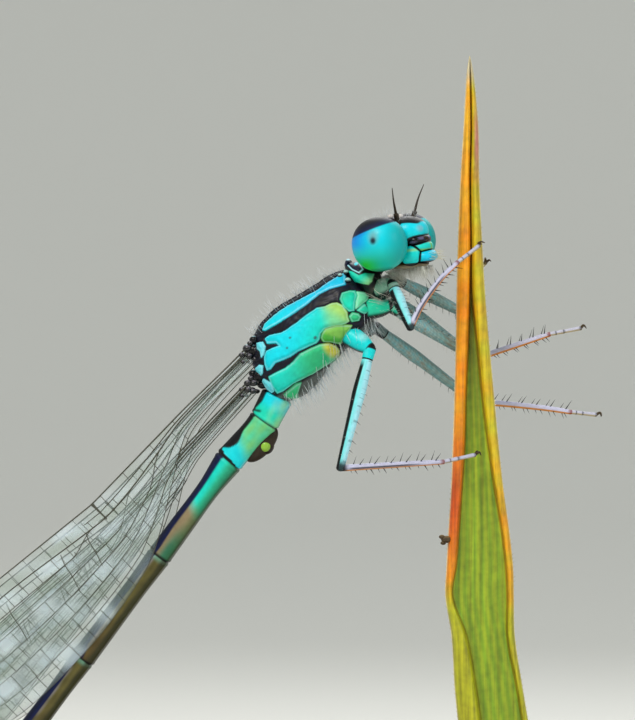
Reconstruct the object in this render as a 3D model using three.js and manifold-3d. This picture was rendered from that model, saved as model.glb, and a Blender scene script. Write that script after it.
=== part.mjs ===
// A male blue-tailed damselfly, life size, gripping an upright cut grass blade on a display stand.
// Units are millimetres. X runs to the right along the stand, Z up, and Y away from a viewer who
// sees the animal's right side. The origin is the centre of the stand's underside.

import * as THREE from "three";
import { mergeVertices } from "three/addons/utils/BufferGeometryUtils.js";
import Module from "manifold-3d";

const wasm = await Module();
wasm.setup();

// Driving dimensions
const GAP = 0.25;
const SLIVER = 0.004;

const BASE = { length: 30, depth: 16, thickness: 2.4, corner: 3.2, bevel: 0.4 };
const ROD = { x: 8.97, radius: 0.8, collarRadius: 1.45, collarHeight: 1.1 };

const THORAX_CENTRE = vec(3.23, 0, 26.45);
const BODY_YAW = degrees(-8);
const THORAX_PITCH = degrees(42);

const HEAD_CENTRE = vec(2.47, 0, 3.15);
const HEAD_YAW = degrees(-18);
const HEAD_PITCH = degrees(-4);
const HEAD_ROLL = degrees(5);
const EYE = { offset: 1.12, length: 0.9, width: 0.76, height: 0.87, innerFace: 0.84 };
const CAPSULE_HALF_WIDTH = EYE.innerFace - GAP;

const ABDOMEN_ROOT = vec(-1.32, 0, -1.86);
// Each segment's length, pitch below the horizontal, and half height at its ends and waist.
const ABDOMEN = [
  { length: 0.86, pitch: 62, start: 0.56, waist: 0.55, end: 0.53 },
  { length: 1.75, pitch: 48, start: 0.52, waist: 0.48, end: 0.5 },
  { length: 3.85, pitch: 53.5, start: 0.49, waist: 0.39, end: 0.42 },
  { length: 4.2, pitch: 53, start: 0.42, waist: 0.39, end: 0.42 },
  { length: 3.95, pitch: 53, start: 0.41, waist: 0.38, end: 0.42 },
  { length: 3.45, pitch: 53, start: 0.42, waist: 0.4, end: 0.44 },
  { length: 2.8, pitch: 53.5, start: 0.44, waist: 0.45, end: 0.5 },
  { length: 1.65, pitch: 54, start: 0.5, waist: 0.53, end: 0.53 },
  { length: 1.0, pitch: 54, start: 0.52, waist: 0.5, end: 0.46 },
  { length: 0.6, pitch: 54, start: 0.44, waist: 0.42, end: 0.36 },
];

const WING_THICKNESS = 0.42;
const VEIN_HEIGHT = 0.1;
const VEIN_HALF_WIDTH = 0.09;
// The main veins' shares of the way from the costa to the hind margin.
const VEIN_SHARES = [0.13, 0.32, 0.5, 0.68, 0.85];
// Each wing's front edge runs straight to the nodus and bends there. Its hind margin is given by
// the distance along the wing and the depth below the straight front edge. It leaves the thorax at
// one distance from the middle plane and settles in a layer of its own.
const FOREWING = {
  root: vec(-2.34, 0, -0.32),
  pitch: 45.6,
  bendAfterNodus: 7,
  rootOffset: 0.52,
  layer: 1.14,
  hindMargin: [
    [0, 0.5], [3, 0.56], [4.2, 1.15], [6.6, 2.5], [9, 3.3], [11.5, 3.75], [13.8, 3.85],
    [15.8, 3.4], [17.2, 2.6], [18.1, 1.5],
  ],
};
const HINDWING = {
  root: vec(-2.34, 0, -1.45),
  pitch: 45.4,
  bendAfterNodus: 4,
  rootOffset: 0.46,
  layer: 0.35,
  hindMargin: [
    [0, 0.36], [2.8, 0.52], [4, 0.82], [5.8, 1.12], [8, 1.5], [10.5, 1.95], [13, 2.4],
    [14.8, 2.5], [16.2, 2.1], [17, 1.35],
  ],
};
const NODUS = 6.95;
const WING_TIP = { length: 3.6, drop: 1.3, power: 2.2 };
const WING_SPREAD = { from: 0.2, to: 3 };

const LEG_RADIUS = { coxa: 0.34, femur: 0.26, knee: 0.25, ankle: 0.23, tarsus: 0.2, claw: 0.1 };
const SPINE = { radius: 0.1, length: 0.62, lean: 0.35 };
// Joint places from the thorax's centre: x towards the blade, y away from the viewer, z up.
// The spines' side is the direction, across the tibia, in which its bristles stand.
const LEGS = {
  fore_right: {
    coxa: vec(2.14, -0.84, 1.55), trochanter: vec(2.42, -1.26, 1.7), knee: vec(2.94, -1.85, 0.39),
    ankle: vec(4.5, -1.15, 2.45), claw: vec(5.25, -0.86, 3.07), spines: vec(-0.75, -0.2, 0.6), spineCount: 3,
  },
  middle_right: {
    coxa: vec(1.62, -0.68, 0.9), trochanter: vec(2.3, -0.36, 0.98), knee: vec(4.95, 1.18, -0.5),
    ankle: vec(5.12, 1.0, -2.6), claw: vec(5.16, 0.84, -3.4), spines: vec(0, 1, 0.1), spineCount: 3,
  },
  hind_right: {
    coxa: vec(0.98, -0.86, 0.14), trochanter: vec(1.6, -1.06, -0.3), knee: vec(0.72, -1.95, -4.06),
    ankle: vec(4.0, -1.15, -3.95), claw: vec(5.15, -0.86, -3.7), spines: vec(0, -0.2, 1), spineCount: 5,
  },
  fore_left: {
    coxa: vec(2.2, 0.1, 1.7), trochanter: vec(2.48, 0.32, 2.02), knee: vec(5.2, 2.0, 0.68),
    ankle: vec(5.14, 1.15, 2.2), claw: vec(5.5, 0.72, 2.52), spines: vec(0, 1, 0.6), spineCount: 3,
  },
  middle_left: {
    coxa: vec(1.7, 0.72, 1.25), trochanter: vec(2.3, 0.9, 1.48), knee: vec(5.16, 2.2, -0.6),
    ankle: vec(7.55, 1.5, 0.2), claw: vec(8.66, 1.4, 0.42), spines: vec(-0.28, 0.1, 0.95), spineCount: 4,
  },
  hind_left: {
    coxa: vec(1.22, 0.6, 0.2), trochanter: vec(1.86, 0.72, 0.42), knee: vec(5.16, 2.2, -2.02),
    ankle: vec(8.3, 2.3, -2.35), claw: vec(9.24, 2.3, -2.45), spines: vec(0.04, 0.1, 1), spineCount: 5,
  },
};

// The blade's left and right edges at heights from the thorax's centre, front and back reach in Y,
// and how deep the groove between its rolled margins is.
const BLADE_Y = 0;
const BLADE = [
  { z: -12.97, left: 4.58, right: 6.9, front: 0.42, back: 0.42, groove: 0.9 },
  { z: -11.2, left: 4.4, right: 6.6, front: 0.42, back: 0.42, groove: 0.9 },
  { z: -9.55, left: 4.3, right: 6.35, front: 0.42, back: 0.42, groove: 0.9 },
  { z: -8.26, left: 4.1, right: 6.32, front: 0.42, back: 0.42, groove: 0.88 },
  { z: -6.0, left: 4.21, right: 6.15, front: 0.42, back: 0.42, groove: 0.85 },
  { z: -3.4, left: 4.34, right: 5.83, front: 0.4, back: 0.42, groove: 0.75 },
  { z: -1.58, left: 4.4, right: 5.66, front: 0.4, back: 0.42, groove: 0.62 },
  { z: 0.06, left: 4.44, right: 5.51, front: 0.4, back: 0.4, groove: 0.45 },
  { z: 1.55, left: 4.46, right: 5.39, front: 0.38, back: 0.38, groove: 0.3 },
  { z: 3.03, left: 4.5, right: 5.3, front: 0.36, back: 0.36, groove: 0.15 },
  { z: 5.23, left: 4.59, right: 5.2, front: 0.32, back: 0.3, groove: 0.12 },
  { z: 6.7, left: 4.68, right: 5.18, front: 0.28, back: 0.26, groove: 0.1 },
  { z: 7.8, left: 4.74, right: 5.1, front: 0.22, back: 0.2, groove: 0.05 },
  { z: 8.7, left: 4.8, right: 5.0, front: 0.13, back: 0.12, groove: 0 },
  { z: 9.16, left: 4.86, right: 4.92, front: 0.04, back: 0.04, groove: 0 },
];

// Materials
function finish(colour, roughness, metalness = 0, opacity = 1) {
  const made = new THREE.MeshStandardMaterial({ color: colour, roughness, metalness });
  made.transparent = opacity < 1;
  made.opacity = opacity;
  return made;
}
const LOOKS = {
  cuticle: finish("#22b8cf", 0.45),
  bronze: finish("#1c1c28", 0.35),
  eye: finish("#12b4dc", 0.2),
  horn: finish("#14141c", 0.5),
  leg: finish("#7fb6c4", 0.5),
  wing: finish("#c9d6cf", 0.25, 0, 0.4),
  leaf: finish("#8fae1e", 0.6),
  wood: finish("#3a2a20", 0.5),
  steel: finish("#b5b8bb", 0.3, 1),
};

// Small helpers
function vec(x, y, z) {
  return new THREE.Vector3(x, y, z);
}

function degrees(angle) {
  return THREE.MathUtils.degToRad(angle);
}

// A smooth reading between rows of [x, y], held level past the first and last.
function readBetween(rows, x) {
  const after = rows.findIndex(([at]) => at > x);
  if (after === 0) return rows[0][1];
  if (after < 0) return rows[rows.length - 1][1];
  const [x0, y0] = rows[after - 1];
  const [x1, y1] = rows[after];
  return THREE.MathUtils.mapLinear(x, x0, x1, y0, y1);
}

// Solids: closed geometry in, closed geometry out
function solidOf(geometry) {
  const bare = geometry.clone();
  bare.deleteAttribute("normal");
  bare.deleteAttribute("uv");
  const merged = mergeVertices(bare, 1e-5);
  const triVerts = new Uint32Array(merged.index.array);
  const vertProperties = new Float32Array(merged.attributes.position.array);
  const made = new wasm.Manifold(new wasm.Mesh({ numProp: 3, vertProperties, triVerts }));
  if (made.volume() > 0) return made;
  for (let i = 0; i < triVerts.length; i += 3)
    [triVerts[i + 1], triVerts[i + 2]] = [triVerts[i + 2], triVerts[i + 1]];
  return new wasm.Manifold(new wasm.Mesh({ numProp: 3, vertProperties, triVerts }));
}

function geometryOf(solid) {
  const { numProp, numVert, vertProperties, triVerts } = solid.getMesh();
  const places = new Float32Array(numVert * 3);
  for (let i = 0; i < numVert; i++)
    places.set(vertProperties.subarray(i * numProp, i * numProp + 3), i * 3);
  const made = new THREE.BufferGeometry();
  made.setAttribute("position", new THREE.BufferAttribute(places, 3));
  made.setIndex(new THREE.BufferAttribute(new Uint32Array(triVerts), 1));
  return made;
}

// The largest closed body of a solid, without the slivers that a join or a cut leaves.
function largestBody(solid) {
  const bodies = solid.simplify(SLIVER).decompose();
  return geometryOf(bodies.reduce((a, b) => (a.volume() > b.volume() ? a : b)));
}

function fuse(pieces) {
  return largestBody(pieces.map(solidOf).reduce((sum, piece) => sum.add(piece)));
}

function cutAway(geometry, ...cutters) {
  return largestBody(cutters.map(solidOf).reduce((rest, cutter) => rest.subtract(cutter), solidOf(geometry)));
}

function block(low, high) {
  const made = new THREE.BoxGeometry(high.x - low.x, high.y - low.y, high.z - low.z);
  return made.translate((low.x + high.x) / 2, (low.y + high.y) / 2, (low.z + high.z) / 2);
}

function blob(centre, radii, around = 10, down = 7) {
  const made = new THREE.SphereGeometry(1, around, down);
  made.rotateX(Math.PI / 2);
  made.scale(radii.x, radii.y, radii.z);
  return made.translate(centre.x, centre.y, centre.z);
}

// A closed skin through oval rings. A ring has a middle, its side and up directions, a half width,
// a rise and a drop, and a squareness, where 2 is an ellipse and more is squarer.
function loft(rings, sides) {
  const skin = new THREE.CylinderGeometry(1, 1, 1, sides, rings.length - 1);
  const places = skin.getAttribute("position");
  const rounded = (wave, squareness) => Math.sign(wave) * Math.abs(wave) ** (2 / squareness);
  for (let i = 0; i < places.count; i++) {
    const { middle, side, up, half, rise, drop, square = 2 } =
      rings[Math.round((0.5 - places.getY(i)) * (rings.length - 1))];
    const across = rounded(places.getX(i), square) * half;
    const height = rounded(places.getZ(i), square) * (places.getZ(i) > 0 ? rise : drop);
    const at = middle.clone().addScaledVector(side, across).addScaledVector(up, height);
    places.setXYZ(i, at.x, at.y, at.z);
  }
  return skin;
}

// A straight rod from one point to another, tapered, with rounded ends.
function rounded(from, to, fromRadius, toRadius, sides = 8) {
  const along = to.clone().sub(from).normalize();
  const side = (Math.abs(along.y) < 0.9 ? vec(0, 1, 0) : vec(1, 0, 0)).cross(along).normalize();
  const up = along.clone().cross(side);
  const ring = (point, shift, radius) => ({
    middle: point.clone().addScaledVector(along, shift),
    side, up, half: radius, rise: radius, drop: radius,
  });
  return loft([
    ring(from, -0.8 * fromRadius, 0.55 * fromRadius),
    ring(from, 0, fromRadius),
    ring(to, 0, toRadius),
    ring(to, 0.8 * toRadius, 0.55 * toRadius),
  ], sides);
}

// A four-sided spine with its root inside what it grows from.
function spine(root, direction, radius, length) {
  const made = new THREE.ConeGeometry(radius, length, 4);
  made.translate(0, length / 2, 0);
  made.applyQuaternion(new THREE.Quaternion().setFromUnitVectors(vec(0, 1, 0), direction.clone().normalize()));
  return made.translate(root.x, root.y, root.z);
}

function node(name, geometry, look) {
  const made = new THREE.Mesh(geometry, look);
  made.name = name;
  return made;
}

// Thorax: rings along its own axis, which rises towards the head
const THORAX_AXIS = vec(Math.cos(THORAX_PITCH), 0, Math.sin(THORAX_PITCH));
const THORAX_UP = vec(-Math.sin(THORAX_PITCH), 0, Math.cos(THORAX_PITCH));
const LEFT = vec(0, 1, 0);

// A point by its place along the thorax's axis, its height off it, and its distance to the left.
function onThorax(along, height, left = 0) {
  return vec(0, left, 0).addScaledVector(THORAX_AXIS, along).addScaledVector(THORAX_UP, height);
}

function thoraxRing(along, height, half, rise, drop, square = 2) {
  return { middle: onThorax(along, height), side: LEFT, up: THORAX_UP, half, rise, drop, square };
}

// The winged thorax's rings: place, height, half width, rise, drop and squareness.
const SYNTHORAX_RINGS = [
  [-2.2, -0.12, 0.5, 0.7, 0.62, 2],
  [-2.0, 0.05, 0.78, 1.08, 0.9, 2],
  [-1.5, 0.15, 0.98, 1.38, 1.2, 2.1],
  [-0.9, 0.2, 1.07, 1.44, 1.24, 2.1],
  [-0.3, 0.24, 1.12, 1.42, 1.14, 2.1],
  [0.4, 0.24, 1.12, 1.27, 1.1, 2.1],
  [1.1, 0.2, 1.08, 1.16, 1.06, 2.1],
  [1.65, 0.22, 0.94, 1.06, 1.04, 2],
  [1.95, 0.26, 0.7, 0.9, 0.85, 2],
];

// The thorax's shell, larger than life by a margin where it is used to cut its neighbours clear.
function synthoraxShell(margin) {
  const last = SYNTHORAX_RINGS.length - 1;
  return loft(SYNTHORAX_RINGS.map(([along, height, half, rise, drop, square], index) => {
    const end = index === 0 ? -margin : index === last ? margin : 0;
    return thoraxRing(along + end, height, half + margin, rise + margin, drop + margin, square);
  }), 18);
}

function wingHinges(margin) {
  const radii = vec(0.34 + margin, 0.24 + margin, 0.34 + margin);
  return [-1, 1].flatMap((way) => [
    blob(onThorax(-1.72, 1.08, 0.5 * way), radii, 8, 6),
    blob(onThorax(-2.16, 0.36, 0.46 * way), radii, 8, 6),
  ]);
}

function hipPlates(margin) {
  const radius = 0.44 + margin;
  return [-1, 1].map((way) => blob(onThorax(1.66, -0.05, 0.58 * way), vec(radius, radius, radius), 10, 6));
}

function synthorax() {
  return fuse([synthoraxShell(0), ...wingHinges(0), ...hipPlates(0)]);
}

// The collar behind the head, with the raised lobe of its hind edge.
function prothoraxShell(margin) {
  const rings = [
    [2.36 - margin, 0.46, 0.62, 0.68, 0.6],
    [2.48, 0.46, 0.78, 0.72, 0.75],
    [2.66, 0.46, 0.72, 0.54, 0.7],
    [2.78, 0.48, 0.4, 0.3, 0.4],
    [2.88 + margin, 0.5, 0.3, 0.22, 0.3],
  ];
  return loft(rings.map(([along, height, half, rise, drop]) =>
    thoraxRing(along, height, half + margin, rise + margin, drop + margin)), 14);
}

function prothorax() {
  const hindLobe = loft([
    thoraxRing(2.5, 1.0, 0.42, 0.2, 0.3),
    thoraxRing(2.36, 1.22, 0.32, 0.14, 0.16),
    thoraxRing(2.28, 1.34, 0.12, 0.06, 0.08),
  ], 8);
  return fuse([prothoraxShell(0), hindLobe]);
}

// Head, in its own frame: x forwards, y to its left, z up
function headCapsule() {
  const slice = (left, half, rise, drop) => ({
    middle: vec(-0.08, left, 0), side: vec(1, 0, 0), up: vec(0, 0, 1), half, rise, drop, square: 2.3,
  });
  const core = loft([
    slice(-CAPSULE_HALF_WIDTH, 0.66, 0.72, 0.7),
    slice(-CAPSULE_HALF_WIDTH / 2, 0.76, 0.84, 0.78),
    slice(CAPSULE_HALF_WIDTH / 2, 0.76, 0.84, 0.78),
    slice(CAPSULE_HALF_WIDTH, 0.66, 0.72, 0.7),
  ], 16);
  const ocelli = [vec(0.3, 0, 0.78), vec(0.05, 0.22, 0.82), vec(0.05, -0.22, 0.82)];
  return fuse([
    core,
    blob(vec(0.54, 0, 0.3), vec(0.62, 0.6, 0.5)),
    blob(vec(0.88, 0, -0.04), vec(0.36, 0.58, 0.2)),
    blob(vec(0.92, 0, -0.26), vec(0.36, 0.46, 0.2)),
    blob(vec(1.05, 0, -0.52), vec(0.36, 0.46, 0.22)),
    blob(vec(0.6, 0.36, -0.5), vec(0.38, 0.26, 0.3), 10, 6),
    blob(vec(0.6, -0.36, -0.5), vec(0.38, 0.26, 0.3), 10, 6),
    blob(vec(0.5, 0, -0.76), vec(0.6, 0.42, 0.16)),
    ...ocelli.map((place) => blob(place, vec(0.1, 0.1, 0.12), 6, 4)),
  ]);
}

function eye(way) {
  const globe = blob(vec(0, EYE.offset * way, 0), vec(EYE.length, EYE.width, EYE.height), 18, 11);
  const inner = EYE.innerFace * way;
  const far = -2 * way;
  return cutAway(globe, block(vec(-2, Math.min(inner, far), -2), vec(2, Math.max(inner, far), 2)));
}

function antenna(way) {
  const root = vec(0.46, 0.5 * way, 1.05);
  const direction = vec(0.11, 0.45 * way, 0.93).normalize();
  const pedicel = root.clone().addScaledVector(direction, 0.2);
  const tip = root.clone().addScaledVector(direction, 0.9);
  return fuse([
    rounded(root, pedicel, 0.16, 0.14, 6),
    rounded(pedicel, tip, 0.11, 0.03, 6),
  ]);
}

// Abdomen: ten segments on one gently bent line
function abdomenSegments() {
  const place = ABDOMEN_ROOT.clone();
  const halfBend = (a, b) => degrees(Math.abs((a ?? b).pitch - (b ?? a).pitch) / 2);
  return ABDOMEN.map(({ length, pitch, start, waist, end }, index) => {
    const back = vec(-Math.cos(degrees(pitch)), 0, -Math.sin(degrees(pitch)));
    const up = vec(-Math.sin(degrees(pitch)), 0, Math.cos(degrees(pitch)));
    const ring = (distance, radius) => ({
      middle: place.clone().addScaledVector(back, distance),
      side: LEFT, up, half: 0.92 * radius, rise: radius, drop: radius, square: 2.2,
    });
    const first = GAP / 2 + start * Math.tan(halfBend(ABDOMEN[index - 1], ABDOMEN[index]));
    const last = length - GAP / 2 - end * Math.tan(halfBend(ABDOMEN[index], ABDOMEN[index + 1]));
    const pieces = [
      loft([
        ring(first, 0.9 * start),
        ring(first + 0.08, start),
        ring(first + 0.3 * (last - first), waist),
        ring(last - 0.3 * (last - first), waist),
        ring(last - 0.08, end),
        ring(last, 0.92 * end),
      ], 14),
    ];
    if (index === 1) pieces.push(...genitalia(ring(1.1, 0), up));
    if (index === ABDOMEN.length - 1) pieces.push(...claspers(ring(last, 0).middle, back, up));
    place.addScaledVector(back, length);
    return index === 0 ? cutAway(fuse(pieces), synthoraxShell(GAP)) : fuse(pieces);
  });
}

function genitalia({ middle }, up) {
  const below = middle.clone().addScaledVector(up, -0.48);
  return [
    blob(below, vec(0.42, 0.26, 0.42), 10, 6),
    blob(below.clone().add(vec(0.2, 0, 0.32)), vec(0.3, 0.22, 0.3), 8, 6),
  ];
}

function claspers(end, back, up) {
  const upper = [-1, 1].map((way) => {
    const root = end.clone().addScaledVector(up, 0.16).addScaledVector(LEFT, 0.17 * way);
    return rounded(root, root.clone().addScaledVector(back, 0.3), 0.14, 0.07, 6);
  });
  const lower = [-1, 1].map((way) => {
    const root = end.clone().addScaledVector(up, -0.16).addScaledVector(LEFT, 0.14 * way);
    return rounded(root, root.clone().addScaledVector(back, 0.22), 0.13, 0.06, 6);
  });
  return [...upper, ...lower];
}

// Wings: one plate each, with its main veins raised in its outer face
function wing({ root, pitch, bendAfterNodus, rootOffset, layer, hindMargin }, way) {
  const out = vec(-Math.cos(degrees(pitch)), 0, -Math.sin(degrees(pitch)));
  const down = vec(Math.sin(degrees(pitch)), 0, -Math.cos(degrees(pitch)));
  const length = hindMargin[hindMargin.length - 1][0];
  const bend = (x) => Math.max(0, x - NODUS) * Math.tan(degrees(bendAfterNodus));
  const roundTip = (x) => Math.max(0, 1 - (length - x) / WING_TIP.length) ** WING_TIP.power;
  const rows = [];
  for (let i = 0; i < WING_STATIONS; i++) {
    const x = length * (i / (WING_STATIONS - 1));
    const top = WING_TIP.drop * roundTip(x) - bend(x);
    const bottom = readBetween(hindMargin, x) - bend(x);
    const foot = Math.min(VEIN_HALF_WIDTH, 0.07 * (bottom - top));
    const settled = THREE.MathUtils.smoothstep(x, WING_SPREAD.from, WING_SPREAD.to);
    const middle = way * THREE.MathUtils.lerp(rootOffset, layer, settled);
    rows.push(WING_COLUMNS.map(({ share, feet, raised }) => {
      const depth = THREE.MathUtils.lerp(top, bottom, share) + feet * foot;
      const at = root.clone().addScaledVector(out, x).addScaledVector(down, depth);
      return {
        outer: at.clone().setY(middle + way * (WING_THICKNESS / 2 + raised)),
        inner: at.clone().setY(middle - way * (WING_THICKNESS / 2)),
      };
    }));
  }
  const plain = plate(rows);
  return cutAway(plain, synthoraxShell(GAP), ...wingHinges(GAP));
}

// The points across a wing: its edges, and each main vein's crest between its two feet.
const WING_STATIONS = 12;
const WING_COLUMNS = [
  { share: 0, feet: 0, raised: VEIN_HEIGHT },
  { share: 0.05, feet: 0, raised: 0 },
  ...VEIN_SHARES.flatMap((share) => [
    { share, feet: -1, raised: 0 },
    { share, feet: 0, raised: VEIN_HEIGHT },
    { share, feet: 1, raised: 0 },
  ]),
  { share: 1, feet: 0, raised: 0 },
];

// A closed plate from rows of outer and inner points, split into triangles alike on both faces.
function plate(rows) {
  const wide = rows[0].length;
  const places = [];
  rows.forEach((row) => row.forEach(({ outer }) => places.push(...outer)));
  rows.forEach((row) => row.forEach(({ inner }) => places.push(...inner)));
  const under = rows.length * wide;
  const faces = [];
  for (let i = 0; i + 1 < rows.length; i++)
    for (let j = 0; j + 1 < wide; j++) {
      const a = i * wide + j;
      const [b, c, d] = [a + 1, a + wide, a + wide + 1];
      faces.push(a, b, c, b, d, c);
      faces.push(under + a, under + c, under + b, under + b, under + c, under + d);
    }
  const rim = [];
  for (let j = 0; j < wide; j++) rim.push(j);
  for (let i = 1; i < rows.length; i++) rim.push(i * wide + wide - 1);
  for (let j = wide - 2; j >= 0; j--) rim.push((rows.length - 1) * wide + j);
  for (let i = rows.length - 2; i > 0; i--) rim.push(i * wide);
  rim.forEach((a, k) => {
    const b = rim[(k + 1) % rim.length];
    faces.push(b, a, under + a, b, under + a, under + b);
  });
  const made = new THREE.BufferGeometry();
  made.setAttribute("position", new THREE.Float32BufferAttribute(places, 3));
  made.setIndex(faces);
  return geometryOf(solidOf(made));
}

// Legs: coxa, trochanter and femur in one node, tibia, tarsus and claws in the next. A thin slit
// through each knee, square to the bend, parts the two.
function kneeSide(leg, side) {
  const upper = leg.trochanter.clone().sub(leg.knee).normalize();
  const lower = leg.ankle.clone().sub(leg.knee).normalize();
  const across = lower.sub(upper).normalize().multiplyScalar(side);
  const size = 4;
  const made = new THREE.BoxGeometry(size, size, size).translate(0, 0, size / 2 - GAP / 2);
  made.applyQuaternion(new THREE.Quaternion().setFromUnitVectors(vec(0, 0, 1), across));
  return made.translate(leg.knee.x, leg.knee.y, leg.knee.z);
}

function upperLeg(leg) {
  const whole = fuse([
    rounded(leg.coxa, leg.trochanter, LEG_RADIUS.coxa, LEG_RADIUS.femur),
    rounded(leg.trochanter, leg.knee, LEG_RADIUS.femur, LEG_RADIUS.knee),
  ]);
  return cutAway(whole, kneeSide(leg, 1), ...bodyClearance());
}

function lowerLeg(leg) {
  const along = leg.ankle.clone().sub(leg.knee);
  const toe = leg.claw.clone().sub(leg.ankle).normalize();
  const side = leg.spines.clone().projectOnPlane(along.clone().normalize()).normalize();
  const pieces = [
    rounded(leg.knee, leg.ankle, LEG_RADIUS.knee, LEG_RADIUS.ankle),
    rounded(leg.ankle, leg.claw, LEG_RADIUS.tarsus, LEG_RADIUS.claw, 6),
  ];
  for (let i = 0; i < leg.spineCount; i++) {
    const root = leg.knee.clone().addScaledVector(along, (i + 1.3) / (leg.spineCount + 1));
    pieces.push(spine(root, side.clone().addScaledVector(toe, SPINE.lean), SPINE.radius, SPINE.length));
  }
  return cutAway(fuse(pieces), kneeSide(leg, -1));
}

// The thorax, enlarged by the gap and turned as the body is, to cut the leg roots clear of it.
function bodyClearance() {
  return [synthoraxShell(GAP), prothoraxShell(GAP), ...hipPlates(GAP)].map((shape) => shape.rotateZ(BODY_YAW));
}

// Grass blade: margins rolled towards the viewer, with a groove between them that opens downwards
function grassBlade() {
  const sides = 20;
  const skin = new THREE.CylinderGeometry(1, 1, 1, sides, BLADE.length - 1);
  const places = skin.getAttribute("position");
  for (let i = 0; i < places.count; i++) {
    const row = Math.round((places.getY(i) + 0.5) * (BLADE.length - 1));
    const { z, left, right, front, back, groove } = BLADE[row];
    const across = places.getX(i);
    const out = places.getZ(i);
    const half = (right - left) / 2;
    const dip = groove * Math.exp(-((across / 0.55) ** 4));
    const depth = out > 0 ? out * back : out * front * (1 - dip);
    places.setXYZ(i, (left + right) / 2 + across * half, BLADE_Y + depth, z);
  }
  return geometryOf(solidOf(skin));
}

// Stand
function standBase() {
  const { length, depth, thickness, corner, bevel } = BASE;
  const outline = new THREE.Shape();
  const x = length / 2 - bevel;
  const y = depth / 2 - bevel;
  outline.moveTo(-x + corner, -y).lineTo(x - corner, -y).quadraticCurveTo(x, -y, x, -y + corner);
  outline.lineTo(x, y - corner).quadraticCurveTo(x, y, x - corner, y);
  outline.lineTo(-x + corner, y).quadraticCurveTo(-x, y, -x, y - corner);
  outline.lineTo(-x, -y + corner).quadraticCurveTo(-x, -y, -x + corner, -y);
  const options = { depth: thickness - 2 * bevel, curveSegments: 5, bevelSize: bevel, bevelThickness: bevel, bevelSegments: 1 };
  return new THREE.ExtrudeGeometry(outline, options).translate(0, 0, bevel);
}

function standRod() {
  const bottom = BASE.thickness + GAP;
  const top = THORAX_CENTRE.z + BLADE[0].z - GAP;
  const { radius, collarRadius, collarHeight } = ROD;
  const profile = [
    [0, bottom], [radius, bottom], [radius, top - collarHeight - 0.5],
    [collarRadius, top - collarHeight], [collarRadius, top], [0, top],
  ].map(([r, z]) => new THREE.Vector2(r, z));
  const made = new THREE.LatheGeometry(profile, 16);
  made.rotateX(Math.PI / 2);
  return made.translate(ROD.x, BLADE_Y, 0);
}

// Assembly
const model = new THREE.Group();

const stand = new THREE.Group();
stand.add(node("stand_base", standBase(), LOOKS.wood));
stand.add(node("stand_rod", standRod(), LOOKS.steel));
model.add(stand);

const perchAndLegs = new THREE.Group();
perchAndLegs.position.copy(THORAX_CENTRE);
perchAndLegs.add(node("perch_grass_blade", grassBlade(), LOOKS.leaf));
for (const [name, leg] of Object.entries(LEGS)) {
  perchAndLegs.add(node("femur_" + name, upperLeg(leg), LOOKS.leg));
  perchAndLegs.add(node("tibia_" + name, lowerLeg(leg), LOOKS.leg));
}
model.add(perchAndLegs);

const body = new THREE.Group();
body.position.copy(THORAX_CENTRE);
body.rotation.z = BODY_YAW;
body.add(node("synthorax", synthorax(), LOOKS.cuticle));
body.add(node("prothorax", prothorax(), LOOKS.bronze));
abdomenSegments().forEach((segment, index) =>
  body.add(node("abdomen_" + String(index + 1).padStart(2, "0"), segment, LOOKS.cuticle)));
for (const [side, way] of [["right", -1], ["left", 1]]) {
  body.add(node("forewing_" + side, wing(FOREWING, way), LOOKS.wing));
  body.add(node("hindwing_" + side, wing(HINDWING, way), LOOKS.wing));
}
model.add(body);

const head = new THREE.Group();
head.position.copy(HEAD_CENTRE);
head.rotation.set(HEAD_ROLL, HEAD_PITCH, HEAD_YAW, "ZYX");
head.add(node("head", headCapsule(), LOOKS.cuticle));
for (const [side, way] of [["right", -1], ["left", 1]]) {
  head.add(node("eye_" + side, eye(way), LOOKS.eye));
  head.add(node("antenna_" + side, antenna(way), LOOKS.horn));
}
body.add(head);

export default model;
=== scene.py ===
"""The looks of a male blue-tailed damselfly at rest on a cut blade of grass, on its display stand."""

import math
import random

import bmesh
import bpy
from mathutils import Euler, Matrix, Vector


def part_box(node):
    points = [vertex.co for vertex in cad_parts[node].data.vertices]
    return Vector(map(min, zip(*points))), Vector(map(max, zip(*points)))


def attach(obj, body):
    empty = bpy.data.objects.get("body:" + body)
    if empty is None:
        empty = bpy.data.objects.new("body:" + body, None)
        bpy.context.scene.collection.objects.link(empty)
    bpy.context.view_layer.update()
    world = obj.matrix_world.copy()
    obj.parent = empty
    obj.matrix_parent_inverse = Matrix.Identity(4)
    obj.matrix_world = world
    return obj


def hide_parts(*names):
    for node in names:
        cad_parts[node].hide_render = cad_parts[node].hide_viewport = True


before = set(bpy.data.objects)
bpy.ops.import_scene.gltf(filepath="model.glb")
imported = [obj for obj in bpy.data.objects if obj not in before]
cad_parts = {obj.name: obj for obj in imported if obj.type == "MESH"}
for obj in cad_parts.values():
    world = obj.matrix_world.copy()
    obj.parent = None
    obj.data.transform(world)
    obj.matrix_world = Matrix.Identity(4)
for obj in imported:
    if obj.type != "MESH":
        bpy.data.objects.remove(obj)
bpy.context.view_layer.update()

MM = 0.001
SIDES = {"right": -1, "left": 1}
WELD = 2e-8  # metres: points nearer than this are one point

# Where the insect stands in the part's frame, in millimetres and degrees
THORAX_CENTRE = Vector((3.23, 0, 26.45))
BODY_YAW = -8
THORAX_PITCH = math.radians(42)
HEAD_CENTRE = Vector((2.47, 0, 3.15))
HEAD_TURN = Euler([math.radians(turn) for turn in (5, -4, -18)], "XYZ")

# The photo's frame, and how far one of its pixels reaches at the insect
PHOTO = {"width": 635, "height": 720, "mm_per_pixel": 1 / 31, "lens": 200, "sensor": 36}
PHOTO_CENTRE = Vector((3.21, 0, 25.81))

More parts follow.
